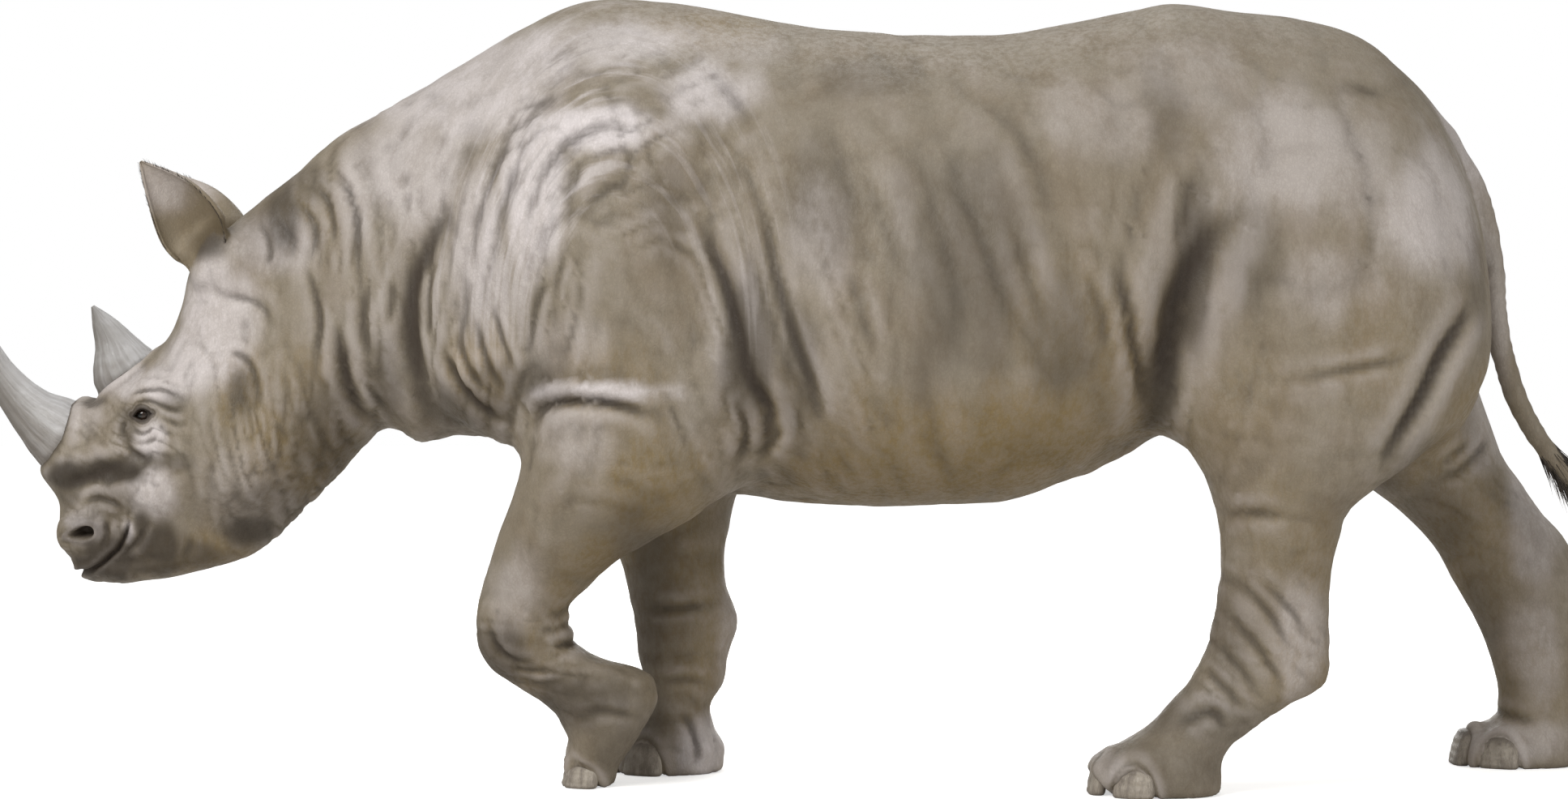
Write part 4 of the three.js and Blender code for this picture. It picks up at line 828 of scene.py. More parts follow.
def apply_wrinkles(p, strength):
    """Swellings and lines of each field of wrinkles, with painted shade in the lines, weighted by exp(-r^4)
    of the distance r from its middle in shares of its reach. A swelling is |noise|, round on top with a
    sharp valley."""
    height, dark = np.zeros(len(p)), np.zeros(len(p))
    for seed, (middle, reach, size, lean, swell, line) in enumerate(WRINKLES):
        far = (((p[:, [0, 2]] - middle) / reach) ** 2).sum(axis=1)
        here = far < 2.2
        weight = np.exp(-(far[here] ** 2))
        size = np.array(size)
        bent = p[here] @ leaning(lean)
        bent = bent + 0.35 * size * noise(bent / (size * 1.7), seed + 40)[:, None]
        lines = lines_of(bent, size, seed)
        lines = np.maximum(lines, 0.7 * lines_of(bent, size * 0.6, seed + 20))
        bent = bent / size
        bulge = 1.3 * np.abs(noise(bent, seed)) - 0.5
        bulge += 0.5 * np.abs(noise(bent / 0.6, seed + 20)) + 0.6 * noise(bent / 2.3, seed + 60)
        height[here] += strength * weight * (swell * bulge - line * lines)
        # Painted shade in the sunken lines.
        dark[here] = np.maximum(dark[here], weight * lines * min(line / 0.004, 1) * 0.5)
    return height, dark


def apply_hollows(p, normal):
    """Height of the wide hollows: -depth exp(-r^2), r being the distance in the side view in shares
    of the reach, on faces that look outwards."""
    seen = side_view(p)
    height = np.zeros(len(p))
    for x, z, wide, tall, depth in np.array(HOLLOWS) / 1000:
        height -= depth * np.exp(-(((seen - (x, z)) / (wide, tall)) ** 2).sum(axis=1))
    return height * smoothstep(-0.2, 0.4, normal[:, 1] * np.sign(p[:, 1]))


def shape_nostrils(p):
    """The hole and the swollen rim of each nostril: inside an ellipse of the side view the skin is
    drawn in along one direction, and a ring outside of it is raised."""
    side = np.sign(p[:, 1])
    offset = p[:, [0, 2]] - NOSTRIL["centre"]
    u, v = turned(*offset.T, math.radians(NOSTRIL["tilt"])) / np.array(NOSTRIL["radii"])[:, None]
    level = np.hypot(u, v / (0.85 + 0.35 * np.clip(u, -1, 1)))
    outer = smoothstep(0.035, 0.06, np.abs(p[:, 1]))
    hole = outer * (1 - smoothstep(0.62, 1.0, level))
    rim = outer * bell(level, 1.3, 0.28)
    x, y, z = NOSTRIL["deep"]
    moved = [hole * x - 0.0015 * rim, side * (hole * y + 0.0035 * rim), hole * z]
    return p + np.stack(moved, axis=1), hole, rim


def lid_distance(p):
    """Where points are in the eye's own side view, and how far above the edge of the upper lid or
    below that of the lower one. The edges are parabolas from corner to corner."""
    u, v = turned(p[:, 0] - EYE[0], p[:, 2] - EYE[2], math.radians(EYELIDS["tilt"]))
    tall = np.where(v > 0, EYELIDS["above"], EYELIDS["below"])
    edge = tall * (1 - (u / EYELIDS["half_length"]) ** 2)
    beyond = np.maximum(np.abs(u) - EYELIDS["half_length"], 0)
    return u, v, np.hypot(np.abs(v) - np.maximum(edge, 0), beyond) * np.where(np.abs(v) < edge, -1, 1)


def shape_eyelids(p, normal):
    """Lids with a rolled edge and rings of wrinkles. Points near the edge are moved onto it, and those
    inside are pressed in along y, to just under the eyeball's surface. Also gives how dark the skin round
    the lids is painted: dark along the edge, wider above, and in the rings, partly the lids' dark skin and
    partly painted shade."""
    offset = mirrored(p) - EYE
    here = np.where((lengths(offset) < 0.06) & (offset[:, 1] > 0.004))[0]
    local = p[here]
    u, v, far = lid_distance(local)
    shake = 1 + 0.25 * noise(local * 60, 3)
    rings = 0.0008 * bell(far, 0.0075 * shake, 0.0022) + 0.0004 * bell(far, 0.0140 * shake, 0.0030)
    upper = smoothstep(-0.004, 0.004, v)
    height = 0.0012 * bell(far, 0.0018, 0.0014) - rings * (0.55 + 0.45 * upper)
    local = local + normal[here] * height[:, None]
    snapped = (np.abs(far) < 0.0011) & (np.abs(u) < 0.94 * EYELIDS["half_length"])
    shift = np.where(snapped, -far * np.sign(v), 0)
    local[:, [0, 2]] += np.stack(turned(0, shift, -math.radians(EYELIDS["tilt"])), axis=1)
    off_axis = np.hypot(local[:, 0] - EYE[0], local[:, 2] - EYE[2])
    ball = EYE[1] + np.sqrt(np.maximum(EYE_RADIUS**2 - off_axis**2, 0)) - EYELIDS["under"]
    deep = np.sign(local[:, 1]) * np.maximum(ball, np.abs(local[:, 1]) - EYELIDS["deep"])
    local[:, 1] = np.where((far < -0.0004) & ~snapped, deep, local[:, 1])
    p, rim = p.copy(), np.zeros(len(p))
    p[here] = local
    # Dark along the lid's edge, more above, and in the rings: partly the lids' dark skin, partly painted
    # shade.
    rim[here] = bell(np.maximum(far, 0), 0, 0.0070 + 0.0034 * upper) + 0.15 * rings / 0.0008
    return p, np.clip(rim, 0, 1)


def nail_level(p, centre, turn, radii):
    """The level of points in the ellipsoid of a nail's bed: one at the nail's edge."""
    ahead, across = turned(*(p - centre)[:, :2].T, turn)
    return np.sqrt((ahead / NAIL_BED) ** 2 + (across / radii[1]) ** 2 + (p[:, 2] / radii[2]) ** 2)


def shape_cuticles(p):
    """Round each nail the skin has a groove and swells beyond it, and it lies back under the nail."""
    height = np.zeros(len(p))
    for _, _, *nail in nail_places():
        level = nail_level(p, *nail)
        height += 0.0026 * bell(level, 1.34, 0.22) - 0.0030 * bell(level, 1.08, 0.08)
        height -= 0.0120 * (1 - smoothstep(0.86, 1.04, level))
    return height


# ---- colour patches

# Patches of colour: middle x and z, reach in x and z, in millimetres, and strength.
# Pale patches, which are painted highlight where the light falls on the hide.
PAINTED_HIGHLIGHT_PATCHES = (
    (-650, 1370, 207, 96, 0.75), (-520, 1450, 176, 80, 0.75), (-110, 1470, 109, 50, 0.26),
    (-350, 1480, 171, 59, 0.6), (-490, 1180, 69, 171, 0.85), (-360, 1300, 125, 47, 1),
    (-140, 1380, 93, 70, 0.75), (-590, 1060, 59, 171, 0.65), (-750, 1240, 120, 128, 0.6),
    (-840, 1220, 64, 112, 0.45), (-1140, 950, 78, 130, 0.78), (-1190, 860, 65, 73, 0.75),
    (-1240, 810, 68, 36, 0.7), (-1270, 690, 36, 39, 0.85), (-1270, 590, 54, 55, 0.72),
    (-1330, 810, 65, 36, 0.75), (-1030, 1090, 97, 65, 0.5), (-1420, 760, 49, 49, 0.3),
    (-1410, 540, 42, 16, 0.35), (-1320, 510, 11, 26, 0.9), (-1430, 530, 32, 16, 0.5),
    (-1380, 520, 13, 29, 0.4), (-1080, 600, 97, 81, 0.22), (-170, 50, 68, 68, 1), (-350, 790, 132, 19, 0.9),
    (600, 1320, 125, 86, 0.26), (-420, 880, 78, 62, 0.25), (990, 1250, 140, 140, 0.42),
    (1090, 1220, 125, 109, 0.35), (800, 1400, 140, 86, 0.24), (1270, 1140, 111, 151, 0.6),
    (70, 1080, 62, 109, 0.3), (1050, 1000, 93, 78, 0.3), (-530, 380, 55, 97, 0.35),
    (-400, 690, 80, 72, 0.35), (1010, 300, 58, 122, 0.42), (-110, 270, 34, 136, 0.4), (-170, 40, 44, 58, 1),
    (1570, 530, 58, 136, 0.5), (1480, 760, 68, 119, 0.35), (1570, 250, 58, 119, 0.35),
    (1530, 60, 102, 44, 0.4), (630, 60, 39, 32, 0.4),
)
OLIVE = (
    (440, 670, 374, 140, 1), (660, 840, 93, 171, 0.7), (140, 620, 171, 78, 0.9), (-590, 830, 67, 96, 0.9),
    (-260, 610, 117, 101, 0.85), (-10, 730, 93, 109, 0.45), (-150, 1510, 140, 47, 0.5),
    (1140, 860, 93, 140, 0.3), (950, 540, 97, 113, 0.35), (1350, 700, 102, 136, 0.6),
    (-970, 810, 65, 97, 0.5), (-1020, 670, 97, 114, 0.8), (-920, 650, 81, 97, 0.8), (-170, 30, 85, 85, 0.9),
    (-1090, 790, 55, 91, 0.8), (-1210, 460, 130, 49, 0.7), (520, 920, 125, 125, 0.5),
    (640, 800, 93, 93, 0.6), (1020, 250, 97, 129, 0.6), (-320, 810, 125, 78, 0.5),
    (1410, 490, 119, 204, 0.6), (-180, 300, 102, 204, 0.6), (-360, 460, 80, 64, 0.8),
    (-240, 560, 113, 64, 0.8), (-430, 380, 39, 48, 0.7), (1020, 440, 64, 145, 0.5),
    (1550, 170, 85, 102, 0.4), (-530, 280, 97, 97, 0.5), (-980, 1130, 62, 78, 0.5),
    (-1160, 460, 97, 42, 0.5), (-180, 460, 85, 102, 0.3), (-290, 670, 80, 97, 0.6),
    (860, 760, 109, 140, 0.3),
)
# Dark patches, which are painted shade where the light reaches less.
PAINTED_SHADE_PATCHES = (
    (-930, 690, 75, 136, 0.62), (-1030, 550, 101, 84, 0.5), (-1360, 450, 88, 55, 1),
    (-1260, 480, 65, 49, 0.95), (-1200, 460, 81, 36, 0.7), (-1450, 590, 39, 42, 0.6),
    (-1330, 560, 42, 26, 0.5), (-1370, 500, 23, 55, 0.5), (-1400, 440, 52, 36, 1), (-1370, 630, 101, 32, 1),
    (-1450, 620, 58, 36, 1), (-1300, 650, 49, 19, 0.8), (-1330, 480, 45, 39, 0.75),
    (-1290, 520, 23, 39, 0.85), (-1290, 440, 97, 26, 0.85), (-1220, 770, 36, 36, 0.5),
    (-1320, 720, 23, 39, 0.55), (-1410, 510, 55, 49, 0.45), (-1280, 650, 97, 23, 0.6),
    (-1090, 790, 32, 71, 0.62), (-1090, 510, 65, 39, 0.9), (-1150, 1090, 45, 39, 0.9),
    (-1010, 1140, 52, 75, 0.85), (-970, 1200, 65, 49, 0.5), (-1020, 1110, 97, 81, 0.35),
    (-790, 800, 48, 96, 0.6), (-70, 870, 53, 187, 0.75), (30, 810, 41, 140, 0.55),
    (350, 1040, 156, 218, 0.5), (70, 1150, 93, 125, 0.4), (520, 920, 93, 125, 0.45),
    (900, 1040, 78, 109, 0.35), (180, 1410, 140, 47, 0.34), (740, 1340, 41, 109, 0.35),
    (790, 1030, 41, 171, 0.75), (730, 810, 41, 109, 0.8), (-230, 1140, 47, 125, 0.35),
    (-530, 800, 109, 50, 0.55), (-630, 760, 109, 56, 0.7), (240, 1150, 47, 140, 0.25),
    (-550, 270, 80, 80, 0.75), (-410, 180, 129, 80, 0.72), (-330, 100, 71, 64, 0.35),
    (760, 60, 129, 71, 0.3), (-280, 390, 75, 187, 0.5), (-240, 100, 85, 102, 0.4), (810, 150, 113, 55, 0.4),
    (860, 310, 48, 97, 0.35), (1250, 630, 68, 75, 0.36), (1370, 510, 75, 109, 0.38),
    (1470, 320, 44, 119, 0.26), (-230, 320, 58, 153, 0.35), (1230, 590, 68, 85, 0.25),
    (-1360, 570, 65, 49, 0.5), (1360, 1010, 25, 140, 0.35),
)
# Painted light that lightens the shaded insides of the ears and the tail.
EAR_AND_TAIL_PAINTED_LIGHT = (
    (-1240, 1200, 55, 58, 0.8), (1340, 1250, 97, 145, 0.6), (1420, 920, 64, 257, 0.35),
)
# Painted shade low in the cups of the ears.
EAR_PAINTED_SHADE = (
    (-1150, 1090, 65, 52, 1), (-1220, 1060, 49, 16, 0.5),
)


STRANDS = {"middle": (-0.323, 0.889), "reach": (0.237, 0.436), "floor": 0.78}


def patches(p, rows, seed):
    """How strongly a colour shows: one inside its patches, with edges frayed by noise drawn out
    downwards as the wrinkles are."""
    fray = noise(p / (0.05, 0.09, 0.16), seed) + 0.6 * noise(p / (0.02, 0.04, 0.06), seed + 1)
    result = np.zeros(len(p))
    for *ellipse, strength in rows:
        x, z, wide, tall = np.array(ellipse) / 1000
        far = lengths((p[:, [0, 2]] - (x, z)) / (wide, tall)) + 0.2475 * fray
        result = np.maximum(result, strength * (1 - smoothstep(0.45, 1.35, far)))
    return result


def strand_place(p):
    """Coordinates of the fine strands that arch round the shoulder blade: the radius of ellipses
    about its middle, the turn about it, and how strongly the strands show."""
    middle, reach = np.array(STRANDS["middle"]), np.array(STRANDS["reach"])
    across, up = ((p[:, [0, 2]] - middle) / reach).T
    radius, turn = np.hypot(across, up), np.arctan2(-across, up)
    share = smoothstep(0.50, 0.75, radius) * (1 - smoothstep(1.35, 1.80, radius))
    share *= smoothstep(STRANDS["floor"], STRANDS["floor"] + 0.16, p[:, 2])
    share *= 0.25 + 0.75 * bell(turn, 0.62, 0.80)
    return radius, turn, share


# ---- ears, tail, horns

EAR = {"root": (-1.143, 0.092, 1.026), "tip": (-1.284, 0.168, 1.250), "wall": 0.0062, "opening": 105}
EAR_WIDTH = (
    (0, 0.042), (0.15, 0.054), (0.35, 0.072), (0.55, 0.066), (0.75, 0.046), (0.9, 0.022), (1, 0.003),
)
EAR_LEAN = ((0, 0), (0.35, -0.010), (0.7, -0.014), (1, 0))
EAR_DEPTH = ((0, 0.044), (0.3, 0.046), (0.7, 0.026), (1, 0.004))
EAR_OUT = (-0.28, 1.0, -0.12)
EAR_GRID, TAIL_GRID = (42, 26), (170, 20)

# Sweeps in the side view: x, z, half height across the path, half width.
HORN_FRONT = (
    (-1.420, 0.664, 0.072, 0.066),
    (-1.485, 0.709, 0.072, 0.066),
    (-1.547, 0.759, 0.048, 0.047),
    (-1.604, 0.827, 0.033, 0.033),
    (-1.651, 0.905, 0.027, 0.026),
    (-1.688, 0.985, 0.016, 0.016),
    (-1.710, 1.055, 0.004, 0.004),
)
HORN_REAR = (
    (-1.318, 0.790, 0.070, 0.058),
    (-1.348, 0.838, 0.069, 0.056),
    (-1.374, 0.895, 0.040, 0.033),
    (-1.397, 0.935, 0.022, 0.018),
    (-1.416, 0.966, 0.004, 0.004),
)
TAIL = (
    (1.120, 1.490, 0.040, 0.058),
    (1.241, 1.419, 0.044, 0.056),
    (1.319, 1.333, 0.045, 0.050),
    (1.374, 1.252, 0.040, 0.043),
    (1.418, 1.170, 0.033, 0.035),
    (1.450, 1.046, 0.025, 0.027),
    (1.458, 0.946, 0.023, 0.024),
    (1.478, 0.846, 0.022, 0.022),
    (1.514, 0.747, 0.021, 0.020),
    (1.580, 0.648, 0.018, 0.017),
    (1.634, 0.580, 0.016, 0.014),
)


def values_at(table, t):
    """One value of a table of (place, value) rows at each t."""
    return cubic(np.array(table), t)[:, 0]


def swept(rows, steps, sides):
    """Rings across a path of the side view, ellipses whose half axes follow the rows: centre +
    tall cos(a) up + wide sin(a) y. Gives points on a grid, and the share along and the angle."""
    rows = np.array(rows)
    fine = path_through(rows, 0.001)
    share = np.linspace(0, 1, len(fine))
    t = np.linspace(0, 1, steps)
    centre = np.stack([np.interp(t, share, fine[:, k]) for k in range(2)], axis=1)
    tall, wide = (np.interp(t, share, fine[:, k]) for k in (2, 3))
    ahead = unit(np.gradient(centre, axis=0))
    angle = np.linspace(0, 2 * math.pi, sides, endpoint=False)
    lift = tall[:, None] * np.cos(angle)
    x = centre[:, None, 0] - ahead[:, None, 1] * lift
    z = centre[:, None, 1] + ahead[:, None, 0] * lift
    y = wide[:, None] * np.sin(angle)
    return np.stack([x, y, z], axis=2), t, angle


# The dip between the horns: x, z, depth.
SADDLE = (-1.409, 0.785, 0.015)


def horn_distance(p, rows):
    """Roughly how far points are from a horn: (level - 1) times its radius, where the level is that
    of its ellipse at the nearest place of its path."""
    fine = path_through(rows, 0.004)
    ahead = unit(np.gradient(fine[:, :2], axis=0))
    offset = p[:, None, [0, 2]] - fine[:, :2]
    nearest = (offset**2).sum(axis=2).argmin(axis=1)
    away, ahead = offset[np.arange(len(p)), nearest], ahead[nearest]
    tall, wide = fine[nearest, 2], fine[nearest, 3]
    rise = ahead[:, 0] * away[:, 1] - ahead[:, 1] * away[:, 0]
    along = (ahead * away).sum(axis=1)
    level = np.hypot(rise / tall, p[:, 1] / wide)
    return np.hypot((level - 1) * (tall + wide) / 2, along) * np.where(level < 1, -1, 1)


def near_horns(p):
    """Which points may lie near a horn."""
    return (p[:, 0] < -1.2) & (p[:, 2] > 0.55)


def shape_horn_roots(p):
    """The groove of the skin against each horn, the swollen ring beyond it and the dip of the snout between
    the horns; gives the height and the painted shade in the groove."""
    here = near_horns(p)
    far = np.minimum(horn_distance(p[here], HORN_FRONT), horn_distance(p[here], HORN_REAR))
    height, dark = np.zeros(len(p)), np.zeros(len(p))
    shake = 1 + 0.3 * noise(p[here] / 0.03, 9)
    groove = bell(far, 0.002, 0.008)
    x, y, z = p[here].T
    side = 0.1 + 0.9 * smoothstep(0.015, 0.055, np.abs(y))
    height[here] = 0.0055 * side * shake * bell(far, 0.022, 0.010) - 0.004 * groove
    dip = bell(x, SADDLE[0], 0.018) * bell(y, 0, 0.05)
    height[here] -= SADDLE[2] * dip * smoothstep(SADDLE[1] - 0.05, SADDLE[1] - 0.02, z)
    # Painted shade in the groove against the horn.
    dark[here] = 0.8 * groove
    return height, dark


def ear_frame(t):
    """At each share t from root to tip of the ear: its middle, the directions back, out and ahead,
    its half width and its depth."""
    root, tip = np.array(EAR["root"]), np.array(EAR["tip"])
    ahead = unit(tip - root)
    out = unit(EAR_OUT - ahead * np.dot(EAR_OUT, ahead))
    back = np.cross(ahead, out)
    centre = root + (tip - root) * t[:, None] + back * values_at(EAR_LEAN, t)[:, None]
    return centre, back, out, ahead, values_at(EAR_WIDTH, t), values_at(EAR_DEPTH, t)


def ear_surface(side):
    """A cup from root to tip. Each ring runs along the outer arc, -opening to +opening, and back
    along the inner one: centre + back a sin(angle) - out b cos(angle). Near the root the inner arc
    is pushed through to the front, which closes the cup."""
    rows, columns = EAR_GRID
    share = np.linspace(0, 1, rows)
    centre, back, out, _, half, depth = ear_frame(share)
    t, half, depth = share[:, None], half[:, None], depth[:, None]
    wall = np.minimum(EAR["wall"], half * 0.45)
    hollow = smoothstep(0.08, 0.4, t)
    rim = math.radians(EAR["opening"])
    outer = np.linspace(-rim, rim, columns)[None]
    inner = np.linspace(rim * 0.97, -rim * 0.97, columns)[None]
    inside = -0.75 * depth + (np.maximum(depth - wall, depth * 0.4) + 0.75 * depth) * hollow
    wave = 1 + 0.02 * np.sin(5 * outer + 9 * t)
    sideways = np.concatenate([half * wave * np.sin(outer), (half - wall) * np.sin(inner)], axis=1)
    outwards = np.concatenate([depth * wave * np.cos(outer), inside * np.cos(inner)], axis=1)
    points = centre[:, None] + back * sideways[..., None] - out * outwards[..., None]
    return tube(points * (1, side, 1))


# ---- the hide, put together

RELIEF_PASSES = (2, 14)
NET_LOW, NET_HIGH, NET_CELL = (-1.60, -0.52, -0.08), (1.76, 0.52, 1.66), 0.031
REFINE_ROUNDS, LONGEST = 6, 1.45  # how often, and from how many times the wanted length, edges are cut
ON_FLESH = 0.0006  # vertices of the joined mesh nearer to the flesh than this belong to it

# How fine the mesh is round the details of the face: middle (x, |y|, z), reach, edge length.
FINE = (
    ((-1.24, 0.10, 0.68), 0.34, 0.0100),  # face
    ((-1.40, 0.07, 0.50), 0.13, 0.0066),  # muzzle
    ((-1.428, 0.084, 0.503), 0.052, 0.0042),  # nostril
    ((-1.285, 0.125, 0.740), 0.085, 0.0056),  # round the eye
    ((-1.285, 0.140, 0.744), 0.048, 0.0030),  # lids
    ((-1.285, 0.140, 0.744), 0.028, 0.0016),
)
EDGE, EDGE_FOOT, EDGE_MOUTH, EDGE_SEAM, EDGE_HORN = 0.0210, 0.0130, 0.0040, 0.0088, 0.0068
EDGE_NAIL = 0.0066
SEAM_RINGS, HEAL_ROUNDS, HEAL_STEP = 4, 14, 0.6  # how wide, how often and how far seams are smoothed
ARCH = 0.0035  # height of the strands that arch round the shoulder blade
# A bump of the crest that is smoothed: middle and reach.
CREST = ((-0.991, 0, 1.207), 0.055)


def edge_wanted(p):
    """The edge length that the mesh should have at each point: least where detail is finest."""
    wanted = np.minimum(EDGE, EDGE_FOOT + 0.05 * np.maximum(p[:, 2] - 0.09, 0))
    seen, both = p[:, [0, 2]], mirrored(p)

    def finer(here, edge, slope, beyond):
        wanted[here] = np.minimum(wanted[here], edge + slope * np.maximum(beyond, 0))

    everywhere = slice(None)
    for middle, reach, edge in FINE:
        finer(everywhere, edge, 0.25, lengths(both - middle) - reach)
    for width, _, _, path, side, _ in each_fold():
        here = near_path(seen, p, path, 0.05, side)
        finer(here, max(WIDER * width, 0.0094), 0.3, from_path(seen[here], path)[0] - 1.6 * width)
    here = p[:, 0] < -1.25
    finer(here, EDGE_MOUTH, 0.3, from_path(seen[here], path_through(MOUTH, 0.01))[0] - 0.008)
    here = near_horns(p)
    for rows in (HORN_FRONT, HORN_REAR):
        finer(here, EDGE_HORN, 0.3, np.abs(horn_distance(p[here], rows)) - 0.022)
    for place, reach in ((EAR["root"], 0.07), ((TAIL[0][0], 0, TAIL[0][1]), 0.08)):
        finer(everywhere, EDGE_SEAM, 0.2, lengths(both - place) - reach)
    for _, _, centre, *nail in nail_places():
        here = lengths(p - centre) < 0.13
        finer(here, EDGE_NAIL, 0.03, np.abs(nail_level(p[here], centre, *nail) - 1.05) - 0.2)
    return wanted


def eased(points, faces, passes=1):
    """Each vertex half way to the mean of its neighbours, and back onto the flesh."""
    edges = edges_of(faces)[0]
    for _ in range(passes):
        points = settled(flesh, (points + neighbour_mean(points, edges)) / 2)
    return points


def bare_hide():
    """The flesh as a mesh that is as fine as edge_wanted says."""
    points, faces = nets(flesh, NET_LOW, NET_HIGH, NET_CELL)
    points = eased(points, faces, 2)
    for _ in range(REFINE_ROUNDS):
        corner = points[faces]
        longest = lengths(corner - np.roll(corner, 1, axis=1)).max(axis=1)
        chosen = longest > LONGEST * edge_wanted(corner.mean(axis=1))
        if not chosen.any():
            break
        points, faces = refined(points, faces, chosen)
        points = eased(points, faces)
    return settled(flesh, points, 2), faces


def tail_surface():
    """The tail as ellipses along its path, with fine rings of skin: 1 + 0.03 sin of the way along,
    shaken by noise."""
    points, t, _ = swept(TAIL, *TAIL_GRID)
    centre = points.mean(axis=1)[:, None]
    phase = 210 * t[:, None] + 2.5 * noise_on(points / 0.05, 31)
    ring = 0.030 * np.sin(phase) * smoothstep(0.25, 0.5, t)[:, None] + 0.05 * noise_on(points / 0.03, 32)
    return tube(centre + (points - centre) * (1 + ring)[..., None])


def united(base, others):
    """One closed mesh from several that overlap, by Blender's Boolean union."""
    whole = mesh_object("whole", *base, at_shift=False)
    for n, other in enumerate(others):
        joined = mesh_object(f"joined_{n}", *other, at_shift=False)
        union = whole.modifiers.new("union", "BOOLEAN")
        union.operation = "UNION"
        union.solver = "MANIFOLD"
        union.object = joined
        fused = bpy.data.meshes.new_from_object(whole.evaluated_get(bpy.context.evaluated_depsgraph_get()))
        whole.modifiers.clear()
        whole.data = fused
        bpy.data.objects.remove(joined)
    points, faces = arrays_of(whole.data)
    bpy.data.objects.remove(whole)
    return points, faces


def healed(points, faces, on_flesh):
    """The seams of the union smoothed: each vertex goes towards its neighbours' mean, most at a
    seam and less over the rings of triangles beside it."""
    edges = edges_of(faces)[0]
    seam = (on_flesh[edges[:, 0]] != on_flesh[edges[:, 1]])[:, None]
    weight = np.zeros(len(points))
    weight[edges[seam[:, 0]].ravel()] = 1
    for _ in range(SEAM_RINGS):
        weight = np.maximum(weight, neighbour_mean(weight, edges) * 1.6).clip(0, 1)
    weight = np.maximum(weight, bell(lengths(points - CREST[0]), 0, CREST[1]))
    for _ in range(HEAL_ROUNDS):
        points = points + HEAL_STEP * weight[:, None] * (neighbour_mean(points, edges) - points)
    return points


def relief(points, faces, passes):
    """How far points lie below the smoothed surface, in edge lengths: above nought in valleys."""
    edges = edges_of(faces)[0]
    long = lengths(points[edges[:, 0]] - points[edges[:, 1]])
    count = len(points)
    total = np.bincount(edges.ravel(), np.repeat(long, 2), count)
    size = total / np.maximum(np.bincount(edges.ravel(), minlength=count), 1)
    smooth = points
    for _ in range(passes):
        smooth = neighbour_mean(smooth, edges)
    return ((smooth - points) * normals_of(points, faces)).sum(axis=1) / size


def sculpted(points, faces, on_flesh, fold_depth, wrinkle_depth):
    """Folds, wrinkles, lids, nostrils, mouth and cuticles, and the numbers per vertex that the colours
    follow, among them painted shade in the creases, valleys and dark patches and painted highlight on the
    ridges and pale patches."""
    edges = edges_of(faces)[0]
    body = on_flesh.astype(float)
    for _ in range(3):
        body = np.minimum(body, neighbour_mean(body, edges))
    before = [relief(points, faces, passes) for passes in RELIEF_PASSES]
    normal = normals_of(points, faces)
    eye_far = lengths(mirrored(points) - EYE)
    nose_far = lengths(points[:, [0, 2]] - NOSTRIL["centre"])
    calm = smoothstep(0.026, 0.05, eye_far) * (0.35 + 0.65 * smoothstep(0.03, 0.06, nose_far))
    calm *= smoothstep(0.002, 0.03, points[:, 2])
    points = points + normal * (calm * body * apply_hollows(points, normal))[:, None]
    folds, fold_shade = apply_folds(points, normal, fold_depth)
    wrinkles, wrinkle_shade = apply_wrinkles(points, wrinkle_depth)
    arc, turn, strand = strand_place(points)
    arch = noise(np.stack([7 * arc, 0.9 * turn, 3 * np.sign(points[:, 1])], axis=1), 151)
    height = calm * (folds * body + wrinkles * (0.2 + 0.8 * body)) + ARCH * strand * body * arch
    # The groove of the mouth, and the painted shade in it.
    mouth, mouth_shade = fold_shape(points[:, [0, 2]], path_through(MOUTH, 0.006), *MOUTH_FOLD)
    at_mouth = (points[:, 0] < -1.29) & (points[:, 2] < 0.56)
    height += np.where(at_mouth, mouth, 0)
    horn_ring, horn_groove_shade = shape_horn_roots(points)
    height += shape_cuticles(points) + horn_ring
    points = points + normal * height[:, None]
    points, hole, rim = shape_nostrils(points)
    points, lid = shape_eyelids(points, normals_of(points, faces))
    points[:, 2] = np.maximum(points[:, 2], 0)
    after = [relief(points, faces, passes) for passes in RELIEF_PASSES]
    fine, wide = (a - b for a, b in zip(after, before))
    # Painted shade: how dark the folds, the wrinkles' lines, the mouth and the grooves round the horns are
    # painted.
    dark = np.maximum(np.maximum(fold_shade, wrinkle_shade) * calm, np.where(at_mouth, mouth_shade, 0) * 1.5)
    dark = np.maximum(dark, horn_groove_shade)
    colours = {
        # Painted shade in the creases, darkest in the holes of the nostrils.
        "crease_shade": np.clip(np.maximum(dark, 1.6 * hole), 0, 1.6),
        # Painted shade where the sculpting sank the skin, and painted highlight where it raised it.
        "valley": np.clip(9 * fine, 0, 1) * 0.5 + np.clip(2.2 * wide, 0, 1) * 0.7,
        "ridge_highlight": np.clip(-9 * fine, 0, 1) * 0.5 + np.clip(-2.2 * wide, 0, 1) * 0.7,
        # Painted highlight: the pale patches on the hide, the ears and the tail.
        "pale": patches(points, PAINTED_HIGHLIGHT_PATCHES, 101) * body + patches(points, EAR_AND_TAIL_PAINTED_LIGHT, 131) * (1 - body),
        "olive": patches(points, OLIVE, 111) * body,
        # Painted shade: the dark patches on the hide and the ears.
        "painted_shade": patches(points, PAINTED_SHADE_PATCHES, 121) * body + patches(points, EAR_PAINTED_SHADE, 141) * (1 - body),
        # Dark round the lids and on the nostrils' rims: partly dark skin, partly painted shade.
        "lid": np.maximum(lid, 0.5 * rim),
        "arc": arc,
        "turn": turn,
        "strand": strand * body,
        "ear": (1 - body) * (points[:, 0] < 0),
    }
    return points, colours


# ---- horns, nails, eyes

NAIL_DEPTH, NAIL_BED = 0.017, 0.038
# How far out a nail stands, and its half width and height, as shares of the foot's and its own.
NAIL_OUT, NAIL_WIDE, NAIL_TALL = 0.93, 0.60, 1.18


